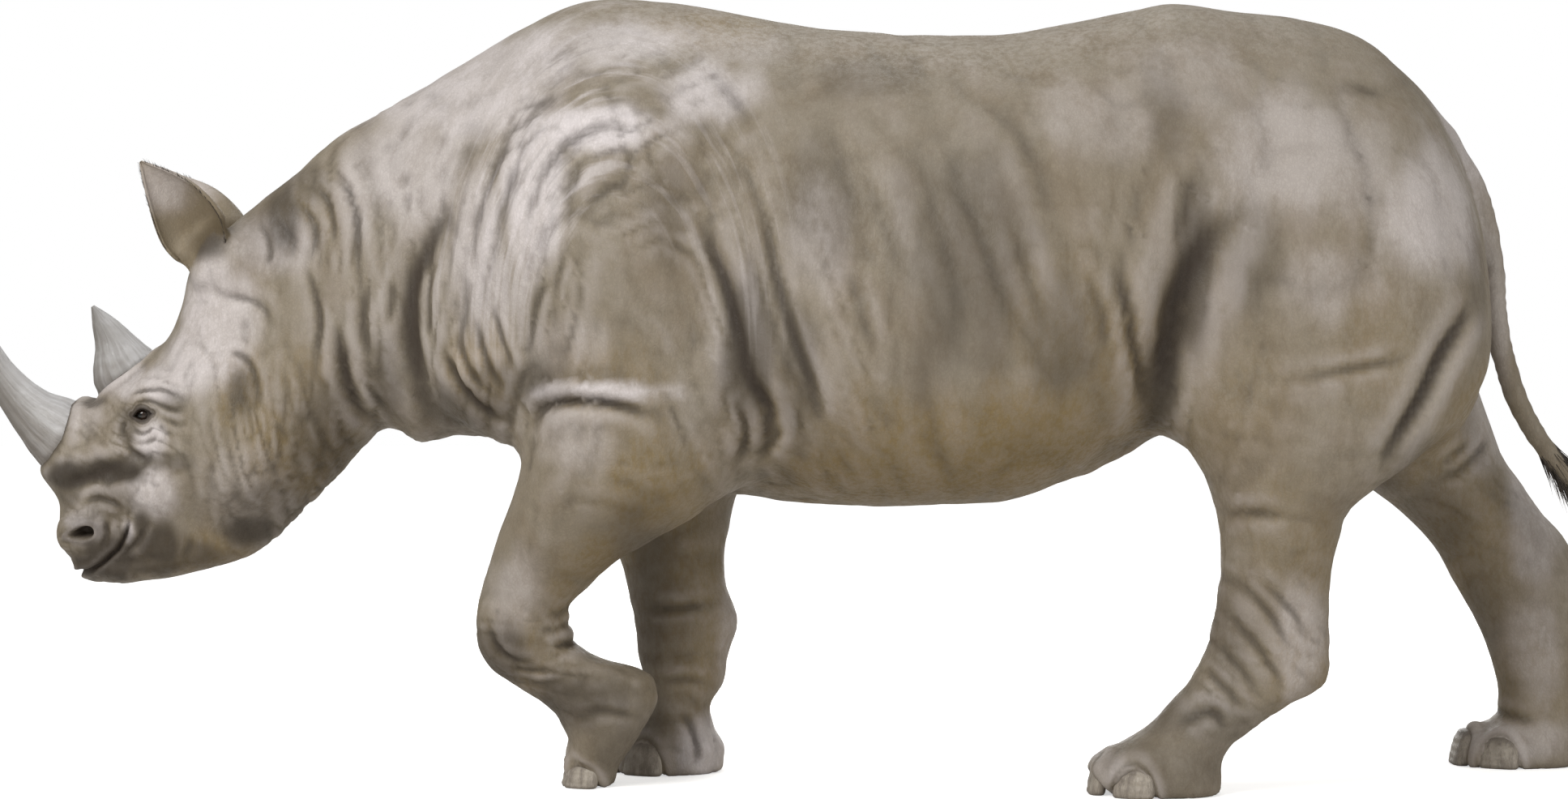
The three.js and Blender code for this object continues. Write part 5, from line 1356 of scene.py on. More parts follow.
def nail_places():
    """Every nail: foot, name, middle of its base, turn, and depth, half width and height."""
    places = []
    for foot, (x, y, forward, sideways, share) in FEET.items():
        for name, angle, width, height in NAILS:
            turn = math.radians(angle)
            ahead, across = NAIL_OUT * forward, NAIL_OUT * sideways
            centre = (x - ahead * math.cos(turn), y + across * math.sin(turn), 0)
            radii = (NAIL_DEPTH, NAIL_WIDE * share * width, NAIL_TALL * share * height)
            places.append((foot, name, np.array(centre), turn, radii))
    return places


def nail_surface(centre, turn, radii, seed):
    """A hoof-like nail: rings from the floor to the cuticle. The half width shrinks upwards as
    (1 - h^3)^(1/3) and the ring leans forwards at the floor; ridges run up the face."""
    depth, half, tall = radii
    rows, columns = 34, 44
    h = np.linspace(0, 1, rows)[:, None]
    angle = np.linspace(0, 2 * math.pi, columns, endpoint=False)[None]
    shrink = (1 - np.minimum(h, 0.9995) ** 3.2) ** (1 / 2.6)
    edge = 1 - 0.10 * bell(h, 0, 0.035)
    c, s = np.cos(angle), np.sin(angle)
    across = half * shrink * edge * np.sign(s) * np.abs(s) ** 0.8
    ahead = depth * shrink * edge * np.sign(c) * np.abs(c) ** 0.7
    ahead = ahead + 0.006 * (1 - h) ** 2 - 0.004 * h * (np.abs(s) ** 2) - 0.005 * h**2
    where = np.stack(np.broadcast_arrays(across / 0.006, h * 1.4, 0 * ahead), axis=-1)
    rings = np.sin(26 * h + 3 * noise_on(where * (0.2, 1, 1), seed + 1))
    ahead = ahead + np.maximum(c, 0) * (0.0007 * noise_on(where, seed) + 0.0006 * rings)
    z = 0.0006 + tall * 1.02 * h
    x = centre[0] - ahead * math.cos(turn) + across * math.sin(turn)
    y = centre[1] + ahead * math.sin(turn) + across * math.cos(turn)
    along = np.append(np.repeat(h[:, 0], columns), (0, 1))
    return *tube(np.stack(np.broadcast_arrays(x, y, z), axis=-1)), {"along": along}


def horn_surface(rows, steps, sides, seed, flare):
    """A horn of fibres: the swept ellipses, swollen by 1 + noise that is drawn out along the horn,
    with growth ridges and a frayed collar near the base."""
    points, t, angle = swept(rows, steps, sides)
    centre = points.mean(axis=1)[:, None]
    c, s = (np.broadcast_to(f(angle)[None], points.shape[:2]) for f in (np.cos, np.sin))
    along = np.broadcast_to(t[:, None], c.shape)
    scales = ((3.0, 3.0, 1.6), (9.0, 9.0, 3.5), (26.0, 26.0, 9.0), (1.6, 1.6, 6.0))
    fibre = np.stack([c, s, along], axis=-1)
    coarse, middle, fine, slow = (noise_on(fibre * scale, seed + k) for k, scale in enumerate(scales))
    low = 1 - smoothstep(0.1, 0.5, along)
    wander = along * 60 + 2.2 * slow
    ridges = np.sin(wander) * (0.25 + 0.75 * low)
    swell = 0.030 * coarse + 0.016 * middle * (0.5 + low) + 0.009 * fine * (0.4 + low) + 0.010 * ridges
    collar = flare * bell(along, 0.13 + 0.02 * coarse, 0.035)
    points = centre + (points - centre) * (1 + swell + collar)[..., None]
    numbers = {"fibre_x": c, "fibre_y": s, "along": along, "groove": middle + fine}
    ends = {"along": (0, 1)}
    return *tube(points), {key: np.append(v.ravel(), ends.get(key, (0, 0))) for key, v in numbers.items()}


def eye_surface(side, pupil):
    """A ball of rings round the line of sight, swollen at the cornea by exp(-(angle / 0.6)^2)."""
    rows, columns = 48, 64
    away = np.linspace(0.02, math.pi - 0.02, rows)[:, None]
    angle = np.linspace(0, 2 * math.pi, columns, endpoint=False)[None]
    ahead = unit(np.array([-0.35, 0.93 * side, -0.05]))
    across = unit(np.cross(ahead, (0, 0, 1)))
    up = np.cross(across, ahead)
    radius = EYE_RADIUS * (0.985 + 0.05 * bell(away, 0, 0.6))
    ring = np.sin(away)[..., None] * (np.cos(angle)[..., None] * across + np.sin(angle)[..., None] * up)
    points = radius[..., None] * (np.cos(away)[..., None] * ahead + ring)
    gaze = np.append(np.repeat(away[:, 0], columns), (0, math.pi)) / pupil
    return *tube(points + (EYE[0], EYE[1] * side, EYE[2])), {"gaze": gaze}


# ---- hair

STRAND_RINGS, STRAND_SIDES = 6, 4
WORDS = {-1: "left", 1: "right"}


def strand_mesh(root, ahead, length, width, flat, droop, curl):
    """Tapered strands as one mesh: from each root along ahead, bent by droop (length t^2) and curl,
    with a flat four-sided section that narrows as (1 - t^1.6) to a point."""
    count = len(root)
    t = np.linspace(0, 0.94, STRAND_RINGS)[None, :, None]
    reach = length[:, None, None] * t
    centre = root[:, None] + ahead[:, None] * reach + (droop[:, None] + curl[:, None] * t) * t**2
    tip = root + ahead * length[:, None] + droop + curl
    along = unit(np.gradient(centre, axis=1))
    side = unit(np.cross(along, np.roll(curl + 1e-4, 1, axis=1)[:, None]))
    up = np.cross(side, along)
    half = 0.5 * width[:, None, None] * (1 - t**1.6)
    side, up = side * half, up * half * flat
    rings = [centre + side, centre + up, centre - side, centre - up]
    points = np.stack(rings, axis=2).reshape(count, -1, 3)
    points = np.concatenate([points, root[:, None], tip[:, None]], axis=1)
    start = points.shape[1] * np.arange(count)[:, None, None]
    every = (tube_faces(STRAND_RINGS, STRAND_SIDES) + start).reshape(-1, 3)
    share = np.append(np.repeat(t.ravel(), STRAND_SIDES), (0, 1))
    around = np.append(np.tile(np.arange(STRAND_SIDES) / STRAND_SIDES, STRAND_RINGS), (0.5, 0.5))
    patch = 0.003 * np.stack([around, share], axis=1)
    return points.reshape(-1, 3), every, np.tile(share, count), patch


def hair_object(name, strands, places, tone):
    """An object of strands, each with its patch of the OFBake map at its root's place and a tone
    of its own."""
    points, faces, share, patch = strand_mesh(*strands)
    numbers = {"along": share, "tone": np.repeat(tone, len(points) // len(places))}
    piece = mesh_object(name, points, outwards(points, faces), numbers)
    uv = (places[:, None] + patch[None]).reshape(-1, 2)
    corners = np.empty(len(piece.data.loops), int)
    piece.data.loops.foreach_get("vertex_index", corners)
    layer = piece.data.uv_layers.new(name="OFBake")
    layer.data.foreach_set("uv", uv[corners].astype(np.float32).ravel())
    return piece


def spread_places(count, columns):
    """Places on the unit square, in rows and columns, one for each strand."""
    number = np.arange(count)
    rows = math.ceil(count / columns)
    return np.stack([(number % columns + 0.5) / columns, (number // columns + 0.5) / rows], axis=1) * 0.98


def tail_tuft(count, length, seed):
    """Stiff bristles on the upper and lower edges of the tail's end, and a brush at its tip."""
    random = np.random.default_rng(seed)
    rows, columns = 200, 24
    rings, _, _ = swept(TAIL, rows, columns)
    centre = rings.mean(axis=1)
    t = 0.86 + 0.14 * random.random(count) ** 0.7
    row = np.minimum((t * (rows - 1)).astype(int), rows - 1)
    edge = np.where(random.random(count) < 0.5, 0.0, math.pi) + random.normal(0, 0.55, count)
    at_tip = random.random(count) < 0.4
    edge = np.where(at_tip, random.random(count) * 2 * math.pi, edge)
    row = np.where(at_tip, rows - 2, row)
    column = (edge / (2 * math.pi) * columns).astype(int) % columns
    surface = rings[row, column]
    outward = unit(surface - centre[row])
    ahead = unit(centre[row] - centre[row - 4])
    root = surface - outward * np.where(at_tip, 0.010 * random.random(count), 0.003)[:, None]
    spread = np.where(at_tip, 0.10, 0.24) * (0.6 + 0.8 * random.random(count))
    ahead = unit(ahead + outward * spread[:, None])
    reach = length * (0.55 + 0.45 * random.random(count)) * np.where(at_tip, 1.0, 0.62)
    width = 0.0016 + 0.0012 * random.random(count)
    droop = np.stack([0 * reach, 0 * reach, -0.10 * reach], axis=1)
    curl = random.normal(0, 0.05, (count, 3)) * reach[:, None]
    strands = (root, ahead, reach, width, 0.55, droop, curl)
    piece = hair_object("tail_hair", strands, spread_places(count, 24), random.random(count))
    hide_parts("tail_tuft")
    return piece


def ear_fringe(side, count, length, seed):
    """Hair on the rim of the ear, longest low on its front edge, and lying along the edge."""
    random = np.random.default_rng(seed)
    front = random.random(count) < 0.6
    t = np.where(front, 0.10 + 0.88 * random.random(count), 0.35 + 0.64 * random.random(count))
    rim = math.radians(EAR["opening"])
    centre, back, out, ahead, half, depth = ear_frame(t)
    angle = np.where(front, -rim, rim)
    reach = back * (half * np.sin(angle))[:, None] - out * (depth * np.cos(angle))[:, None]
    root = centre + reach * 0.97
    edge = reach / np.maximum(lengths(reach), 1e-6)[:, None]
    way = unit(ahead + edge * 0.30 - out * 0.15 + random.normal(0, 0.12, (count, 3)))
    low = bell(t, 0, 0.35) * front
    long = length * (0.45 + 0.5 * random.random(count)) * (1 + 0.7 * low)
    width = 0.0007 + 0.0004 * random.random(count)
    droop = -0.25 * long[:, None] * edge
    curl = random.normal(0, 0.10, (count, 3)) * long[:, None]
    mirror = np.array([1, side, 1])
    strands = (root * mirror, way * mirror, long, width, 0.8, droop * mirror, curl * mirror)
    return hair_object(f"ear_hair_{WORDS[side]}", strands, spread_places(count, 20), random.random(count))


def eyelashes(side, count, length, seed):
    """A row of lashes on the upper lid's edge and a shorter one on the lower, curving outwards."""
    random = np.random.default_rng(seed)
    upper = np.arange(count) < 0.62 * count
    u = np.where(upper, np.linspace(-1.5, 1, count), np.linspace(-1, 2.2, count))
    u = np.clip((u + 1) % 2 - 1, -0.9, 0.9) * EYELIDS["half_length"] + random.normal(0, 0.0004, count)
    tall = np.where(upper, EYELIDS["above"], -EYELIDS["below"])
    v = tall * (1 - (u / EYELIDS["half_length"]) ** 2)
    dx, dz = turned(u, v, -math.radians(EYELIDS["tilt"]))
    dy = np.sqrt(np.maximum(LASH_RADIUS**2 - dx**2 - dz**2, 1e-6))
    root = np.stack([EYE[0] + dx, (EYE[1] + dy) * side, EYE[2] + dz], axis=1)
    way = [0.35 * u / EYELIDS["half_length"] - 0.25, side + 0 * u, np.where(upper, -0.15, -0.55)]
    way = unit(np.stack(way, axis=1) + random.normal(0, 0.10, (count, 3)))
    long = length * (0.7 + 0.3 * random.random(count)) * np.where(upper, 1, 0.6)
    droop = np.stack([0 * u, 0.1 * side * long, np.where(upper, 0.30, -0.15) * long], axis=1)
    curl = random.normal(0, 0.05, (count, 3)) * long[:, None]
    strands = (root, way, long, 0.0006 + 0 * u, 0.9, droop, curl)
    return hair_object(f"lashes_{WORDS[side]}", strands, spread_places(count, 10), random.random(count))


# ---- materials


class Nodes:
    """Short calls that add nodes to a tree. A value given to a call is a number, a colour or the
    output socket of another node."""

    def __init__(self, tree):
        self.tree = tree

    def add(self, kind, settings=None, **values):
        """A node of a kind, with its settings and the values of its named inputs."""
        node = self.tree.nodes.new(f"ShaderNode{kind}" if kind[:4] != "Node" else kind)
        for key, value in (settings or {}).items():
            setattr(node, key, value)
        for key, value in values.items():
            self.put(node.inputs[key.replace("_", " ")], value)
        return node

    def put(self, socket, value):
        """Links an output to an input socket, or sets the input's value."""
        if isinstance(value, bpy.types.NodeSocket):
            self.tree.links.new(value, socket)
        elif socket.type == "RGBA" and len(value) == 3:
            socket.default_value = (*value, 1)
        else:
            socket.default_value = value

    def number(self, operation, a, b, clamp=False):
        """An operation on two numbers."""
        node = self.add("Math", {"operation": operation, "use_clamp": clamp})
        self.put(node.inputs[0], a)
        self.put(node.inputs[1], b)
        return node.outputs[0]

    def times(self, a, b):
        """The product of two numbers."""
        return self.number("MULTIPLY", a, b)

    def plus(self, a, b):
        """The sum of two numbers."""
        return self.number("ADD", a, b)

    def mix(self, share, a, b):
        """Two colours mixed by a share."""
        node = self.add("Mix", {"data_type": "RGBA", "clamp_factor": True})
        for index, value in ((0, share), (6, a), (7, b)):
            self.put(node.inputs[index], value)
        return node.outputs[2]

    def layers(self, colour, *rows):
        """A colour with others over it: rows of a colour, its mask and, if given, the mask's factor."""
        for top, mask, *factor in rows:
            colour = self.mix(self.times(mask, *factor) if factor else mask, colour, top)
        return colour

    def between(self, value, low, high, start=0.0, end=1.0):
        """A number taken smoothly from one range to another."""
        node = self.add("MapRange", {"interpolation_type": "SMOOTHSTEP"})
        for index, given in enumerate((value, low, high, start, end)):
            self.put(node.inputs[index], given)
        return node.outputs[0]

    def attribute(self, name):
        """A number per vertex."""
        return self.add("Attribute", {"attribute_name": name}).outputs["Fac"]

    def place(self, scale=(1, 1, 1), turn=(0, 0, 0)):
        """The object's own coordinates, scaled and turned."""
        coordinate = self.add("TexCoord").outputs["Object"]
        node = self.add("Mapping", {"vector_type": "POINT"}, Vector=coordinate)
        node.inputs["Scale"].default_value = scale
        node.inputs["Rotation"].default_value = turn
        return node.outputs[0]

    def noise(self, vector, scale, detail=3.0, rough=0.55, warp=0.0):
        """Cloudy noise from 0 to 1."""
        node = self.add("TexNoise", None, Vector=vector, Scale=scale, Detail=detail, Roughness=rough)
        node.inputs["Distortion"].default_value = warp
        return node.outputs["Fac"]


def mottle(n, given):
    """Blotches at two sizes: noise, sharpened to a mask, and finer noise added by a share."""
    wide = n.noise(given["Vector"], given["Scale"], 5, 0.6, 0.4)
    fine = n.noise(given["Vector"], n.times(given["Scale"], 9.0), 4, 0.65)
    both = n.plus(n.times(wide, 0.72), n.times(fine, 0.28))
    return n.between(both, given["Low"], given["High"]), n.between(fine, 0.35, 0.7)


def grain(n, given):
    """Height of a leathery grain: pebbles between cracks, at two sizes, with noise over them."""
    wander = n.add("TexNoise", None, Vector=given["Vector"], Scale=n.times(given["Scale"], 0.35))
    shaken = n.add("VectorMath", {"operation": "MULTIPLY_ADD"})
    for index, value in enumerate((wander.outputs["Color"], (0.02, 0.02, 0.02), given["Vector"])):
        n.put(shaken.inputs[index], value)
    heights = []
    for factor in (1.0, 2.6):
        cell = n.add("TexVoronoi", {"feature": "DISTANCE_TO_EDGE"}, Vector=shaken.outputs[0])
        n.put(cell.inputs["Scale"], n.times(given["Scale"], factor))
        heights.append(n.between(cell.outputs["Distance"], 0.0, 0.28))
    speck = n.noise(given["Vector"], n.times(given["Scale"], 5.0), 3, 0.6)
    pebbles = n.plus(n.times(heights[0], 0.55), n.times(heights[1], 0.27))
    cracks = n.number("SUBTRACT", 1.0, heights[0])
    return n.plus(pebbles, n.times(speck, 0.18)), n.times(cracks, given["Crack"])


def dust(n, given):
    """Where dust and dried mud lie: on faces that look up, and in noisy patches near the ground."""
    up = n.add("SeparateXYZ", None, Vector=n.add("NewGeometry").outputs["Normal"]).outputs["Z"]
    z = n.add("SeparateXYZ", None, Vector=given["Vector"]).outputs["Z"]
    low = n.between(z, given["Height"], 0.0)
    cloud = n.noise(given["Vector"], 14.0, 6, 0.65, 0.3)
    lying = n.times(n.between(up, 0.1, 0.9), 0.6)
    where = n.times(n.number("MAXIMUM", lying, low), given["Amount"])
    return (n.number("MULTIPLY", where, n.between(cloud, 0.38, 0.68), clamp=True),)


# Each group: the function that fills it, its inputs and their values, and its outputs.
GROUPS = {
    "Mottle": (mottle, {"Vector": None, "Scale": 6.0, "Low": 0.4, "High": 0.6}, ("Mask", "Speckle")),
    "Leather grain": (grain, {"Vector": None, "Scale": 90.0, "Crack": 0.6}, ("Height", "Cracks")),
    "Dust": (dust, {"Vector": None, "Amount": 0.5, "Height": 0.5}, ("Mask",)),
}


def group_of(name):
    """The shader node group of a name, made when it is first asked for."""
    group = bpy.data.node_groups.get(name)
    if group is None:
        fill, inputs, outputs = GROUPS[name]
        group = bpy.data.node_groups.new(name, "ShaderNodeTree")
        for label, value in inputs.items():
            kind = "NodeSocketVector" if value is None else "NodeSocketFloat"
            socket = group.interface.new_socket(label, in_out="INPUT", socket_type=kind)
            if value is not None:
                socket.default_value = value
        for label in outputs:
            group.interface.new_socket(label, in_out="OUTPUT", socket_type="NodeSocketFloat")
        n = Nodes(group)
        out = n.add("NodeGroupOutput")
        for label, value in zip(outputs, fill(n, n.add("NodeGroupInput").outputs)):
            n.put(out.inputs[label], value)
    return group


def placed(n, name, **values):
    """The outputs of a node group that is placed in a material with its own values."""
    return n.add("Group", {"node_tree": group_of(name)}, **values).outputs


def material_of(name, roughness, **shader_values):
    """A new material: its node helper, its shader and a function that links a bump."""
    material = bpy.data.materials.new(name)
    material.use_nodes = True
    n = Nodes(material.node_tree)
    shader = material.node_tree.nodes["Principled BSDF"]
    shader.inputs["Roughness"].default_value = roughness
    for key, value in shader_values.items():
        n.put(shader.inputs[key.replace("_", " ")], value)

    def bump(height, distance, strength=1.0):
        node = n.add("Bump", None, Height=height)
        node.inputs["Distance"].default_value = distance
        node.inputs["Strength"].default_value = strength
        n.put(shader.inputs["Normal"], node.outputs["Normal"])

    return material, n, shader, bump


def hide_material(sizes):
    """Taupe leather with olive patches, pale and dark patches of painted highlight and shade, painted shade
    in the creases and a cracked grain.
    """
    material, n, shader, bump = material_of("Rhinoceros hide", 0.62, Specular_IOR_Level=0.32)
    vector = n.place()
    blotch = placed(n, "Mottle", Vector=n.place((1.0, 1.0, 0.5)), Scale=9.0, Low=0.44, High=0.60)
    broad = placed(n, "Mottle", Vector=vector, Scale=2.6, Low=0.42, High=0.60)
    leather = placed(n, "Leather grain", Vector=n.place((1.0, 1.0, 0.62)), Scale=150.0, Crack=0.6)
    dusty = placed(n, "Dust", Vector=vector, Amount=0.5, Height=0.35)
    along, across = n.times(n.attribute("turn"), 1.1), n.times(n.attribute("arc"), 11.0)
    strand = n.noise(n.add("CombineXYZ", None, X=across, Y=along).outputs[0], 1.0, 4, 0.6, 0.25)
    shown = n.attribute("strand")
    clear = n.between(n.attribute("painted_shade"), 0.2, 1.0, 1.0, 0.15)
    colour = n.layers(
        sizes.middle,
        (sizes.warm, blotch["Mask"], 0.55),
        (sizes.cool, broad["Mask"], 0.30),
        (sizes.olive, n.attribute("olive"), n.between(blotch["Speckle"], 0.0, 1.0, 0.55, 1.0)),
        # Painted highlight: the pale patches.
        (sizes.pale, n.attribute("pale"), n.between(blotch["Mask"], 0.0, 1.0, 1.0, 0.80)),
        # Painted shade: the dark patches.
        (sizes.dark, n.attribute("painted_shade"), 0.95),
        (sizes.olive, n.attribute("ear"), 0.25),
        # Painted highlight on the raised side of the strands round the shoulder blade and painted shade on
        # the sunken side, following their bump.
        (sizes.pale, shown, n.between(strand, 0.50, 0.64, 0.0, 0.60)),
        (sizes.dark, shown, n.between(strand, 0.47, 0.34, 0.0, 0.34)),
    )
    colour = n.layers(
        colour,
        (n.mix(0.5, colour, sizes.dark), blotch["Speckle"], 0.12),
        # Painted shade in the cracks of the grain.
        (sizes.dark, leather["Cracks"], 0.16),
        (sizes.dust, n.times(dusty["Mask"], 0.25), clear),
        # Painted shade in the valleys and painted highlight on the ridges of the sculpted hide.
        (sizes.dark, n.attribute("valley"), 0.5),
        (sizes.pale, n.times(n.attribute("ridge_highlight"), 0.22), clear),
        # Painted shade in the creases, the mouth, the grooves round the horns and the nostrils.
        (sizes.crease_shade, n.between(n.attribute("crease_shade"), 0.05, 1.0, 0.0, 0.82)),
        # Dark round the lids and nostrils: partly dark skin, partly painted shade.
        (sizes.crease_shade, n.attribute("lid"), 0.95),
    )
    n.put(shader.inputs["Base Color"], colour)
    n.put(shader.inputs["Roughness"], n.between(blotch["Speckle"], 0.0, 1.0, 0.52, 0.74))
    bump(n.plus(leather["Height"], n.times(n.times(shown, strand), 7.0)), 0.0009, 0.5)
    return material


def horn_material(sizes):
    """Fibrous horn: pale blue-grey towards the tip and on faces that look up, which is painted highlight;
    taupe beneath, which is painted shade; streaked along the fibres.
    """
    material, n, shader, bump = material_of("Rhinoceros horn", 0.42)
    across = n.add("CombineXYZ", None, X=n.attribute("fibre_x"), Y=n.attribute("fibre_y"))
    n.put(across.inputs["Z"], n.times(n.attribute("along"), 0.35))
    streak = placed(n, "Mottle", Vector=across.outputs[0], Scale=7.0, Low=0.40, High=0.62)
    fine = n.noise(across.outputs[0], 55.0, 5, 0.7)
    blotch = placed(n, "Mottle", Vector=n.place(), Scale=14.0, Low=0.42, High=0.62)
    dusty = placed(n, "Dust", Vector=n.place(), Amount=0.6, Height=0.0)
    up = n.add("SeparateXYZ", None, Vector=n.add("NewGeometry").outputs["Normal"]).outputs["Z"]
    colour = n.layers(
        sizes.fibre,
        (sizes.shade, streak["Mask"], 0.6),
        # Painted highlight on faces that look up.
        (sizes.upper, n.between(up, -0.1, 0.7), 0.60),
        (sizes.upper, n.between(n.attribute("along"), 0.34, 0.05), 0.20),
        # Painted shade on faces that look down.
        (sizes.root, n.between(up, 0.25, -0.65, 0.0, 0.78)),
        (sizes.shade, blotch["Mask"], 0.25),
        # Painted shade in the grooves between the fibres.
        (sizes.root, n.between(n.attribute("groove"), 0.0, -0.7, 0.0, 0.20)),
        # Dust on faces that look up, laid in the pale colour of the painted highlight.
        (sizes.upper, dusty["Mask"], 0.3),
    )
    n.put(shader.inputs["Base Color"], colour)
    n.put(shader.inputs["Roughness"], n.between(fine, 0.2, 0.8, 0.32, 0.55))
    bump(n.plus(n.times(fine, 0.6), streak["Speckle"]), 0.0012, 0.8)
    return material


def nail_material(sizes):
    """Grey-beige nails, streaked from the cuticle down, darker near the skin and near the ground."""
    material, n, shader, bump = material_of("Rhinoceros nail", 0.46)
    streak = placed(n, "Mottle", Vector=n.place((1.0, 1.0, 0.12)), Scale=60.0, Low=0.40, High=0.62)
    blotch = placed(n, "Mottle", Vector=n.place(), Scale=24.0, Low=0.42, High=0.64)
    colour = n.layers(
        sizes.colour,
        (sizes.streak, streak["Mask"]),
        (sizes.cuticle, n.between(n.attribute("along"), 0.55, 1.0, 0.0, 0.75)),
        (sizes.cuticle, n.between(n.attribute("along"), 0.16, 0.0, 0.0, 0.5)),
        (sizes.cuticle, blotch["Mask"], 0.3),
    )
    n.put(shader.inputs["Base Color"], colour)
    n.put(shader.inputs["Roughness"], n.between(streak["Speckle"], 0.0, 1.0, 0.36, 0.58))
    bump(n.plus(streak["Mask"], n.times(streak["Speckle"], 0.5)), 0.0008, 0.7)
    return material


def eye_material(sizes):
    """A wet dark eye: black pupil, brown iris with fine rays, dark white of the eye."""
    material, n, shader, _ = material_of("Rhinoceros eye", 0.06, Coat_Weight=0.3, Coat_Roughness=0.02)
    gaze = n.attribute("gaze")
    rays = n.noise(n.place(), 900.0, 2)
    iris = n.layers(sizes.iris, (sizes.ray, n.between(rays, 0.35, 0.7)))
    rings = (iris, n.between(gaze, 0.92, 1.08)), (sizes.white, n.between(gaze, 1.9, 2.3))
    colour = n.layers((0.002, 0.002, 0.002), *rings)
    n.put(shader.inputs["Base Color"], colour)
    return material


def hair_material(sizes):
    """Stiff dark hair, each of its own tone and a little browner towards its tip."""
    material, n, shader, _ = material_of("Rhinoceros hair", 0.5)
    tone = n.between(n.attribute("tone"), 0.0, 1.0)
    colour = n.mix(tone, sizes.dark, sizes.light)
    share = n.between(n.attribute("along"), 0.4, 1.0, 0.0, 0.5)
    n.put(shader.inputs["Base Color"], n.mix(share, colour, sizes.tip))
    return material


def dress(piece, material, slot, *nodes):
    """A piece's material, its slot, which is not used, the body it rides on and the nodes that it stands
    for.
    """
    piece.data.materials.append(material)
    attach(piece, "root")
    if nodes:
        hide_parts(*nodes)


# ---- what a user may change


def colour_property(name, description, default):
    """A colour that shows in the sidebar."""
    settings = {"subtype": "COLOR", "default": default, "min": 0, "max": 1}
    return FloatVectorProperty(name=name, description=description, **settings)


def factor_property(name, description, default, high=2.0):
    """A factor that shows in the sidebar."""
    settings = {"subtype": "FACTOR", "default": default, "min": 0, "max": high}
    return FloatProperty(name=name, description=description, **settings)


def length_property(name, description, default):
    """A length in metres that shows in the sidebar."""
    settings = {"unit": "LENGTH", "default": default, "min": 0, "precision": 4}
    return FloatProperty(name=name, description=description, **settings)


def power_property(name, description, default):
    """The power of a light in watts that shows in the sidebar."""
    return FloatProperty(name=name, description=description, unit="POWER", default=default, min=0)


class HideSettings(PropertyGroup):
    """Folds and colours of the hide."""

    folds: factor_property("Folds", "How deep the folds of the hide are", 1.0)
    wrinkles: factor_property("Wrinkles", "How deep the small wrinkles are", 1.0)
    middle: colour_property("Taupe", "Main colour", (0.222, 0.187, 0.137))
    warm: colour_property("Warm", "Colour of the warmer blotches", (0.185, 0.145, 0.098))
    cool: colour_property("Cool", "Colour of the cooler blotches", (0.256, 0.232, 0.194))
    # Pale: the colour of painted highlight in the pale patches, on the ridges and on the strands.
    pale: colour_property("Pale", "Colour of the pale patches", (0.580, 0.540, 0.545))
    olive: colour_property("Olive", "Colour of belly, chest and inner legs", (0.215, 0.155, 0.068))
    # Dark: the colour of painted shade in the dark patches, the valleys, the cracks and the strands; it
    # also darkens the speckles.
    dark: colour_property("Dark", "Colour of the dark patches", (0.042, 0.033, 0.024))
    # Crease colour: painted shade in the creases and round the lids.
    crease_shade: colour_property("Crease", "Colour in the creases", (0.030, 0.021, 0.015))
    dust: colour_property("Dust", "Colour of dust", (0.380, 0.340, 0.290))


class HornSettings(PropertyGroup):
    """Colours and collar of the horns."""

    flare: factor_property("Collar", "How far the frayed collar swells", 0.035, 0.2)
    fibre: colour_property("Fibre", "Main colour", (0.330, 0.318, 0.310))
    shade: colour_property("Shade", "Colour of the darker fibres", (0.245, 0.226, 0.200))
    # Upper: the colour of painted highlight on faces that look up, also of the pale collar and the dust.
    upper: colour_property("Upper", "Colour of the upper side", (0.680, 0.680, 0.700))
    # Root: the colour of painted shade on faces that look down and in the grooves between the fibres.
    root: colour_property("Root", "Colour near the skin", (0.120, 0.098, 0.080))


class NailSettings(PropertyGroup):
    """Colours of the nails."""

    colour: colour_property("Nail", "Main colour", (0.365, 0.326, 0.272))
    streak: colour_property("Streak", "Colour of the streaks", (0.210, 0.180, 0.150))
    cuticle: colour_property("Cuticle", "Colour near the skin and the ground", (0.095, 0.076, 0.058))


class EyeSettings(PropertyGroup):
    """Sizes and colours of the eyes."""

    pupil: FloatProperty(
        name="Pupil", description="Half angle of the pupil", subtype="ANGLE", default=0.30, min=0.1, max=0.6
    )
    iris: colour_property("Iris", "Colour of the iris", (0.016, 0.008, 0.004))
    ray: colour_property("Ray", "Colour of the rays in the iris", (0.030, 0.015, 0.008))
    white: colour_property("White", "Colour round the iris", (0.022, 0.015, 0.012))


class HairSettings(PropertyGroup):
    """Counts, lengths and colours of the hair."""

    tuft_count: IntProperty(name="Tuft hairs", description="Hairs of the tail's tuft", default=620, min=10)
    tuft_length: length_property("Tuft length", "Length of the longest hair of the tuft", 0.165)
    fringe_count: IntProperty(name="Fringe hairs", description="Hairs round each ear", default=260, min=10)
    fringe_length: length_property("Fringe length", "Length of the hair round the ears", 0.013)
    lash_count: IntProperty(name="Lashes", description="Lashes of each eye", default=46, min=4)
    lash_length: length_property("Lash length", "Length of the lashes", 0.011)
    seed: IntProperty(name="Seed", description="Start of the random numbers", default=7, min=0)
    dark: colour_property("Dark", "Colour of the darker hairs", (0.018, 0.014, 0.011))
    light: colour_property("Light", "Colour of the lighter hairs", (0.055, 0.042, 0.032))
    tip: colour_property("Tip", "Colour of the tips", (0.085, 0.062, 0.045))


class StageSettings(PropertyGroup):
    """Camera and lights."""

    distance: length_property("Distance", "From the camera to the middle of the animal", 6.5)
    height: length_property("Camera height", "Height of the level camera", 0.775)
    width: length_property("View width", "Width of the view at the middle of the animal", 3.2121)
    key: power_property("Key light", "Power of the soft light from the front left", 365)
    fill: power_property("Fill light", "Power of the soft light from the right", 110)
    sky: factor_property("Sky", "Strength of the light from all round", 0.36, 5.0)


# ---- operators


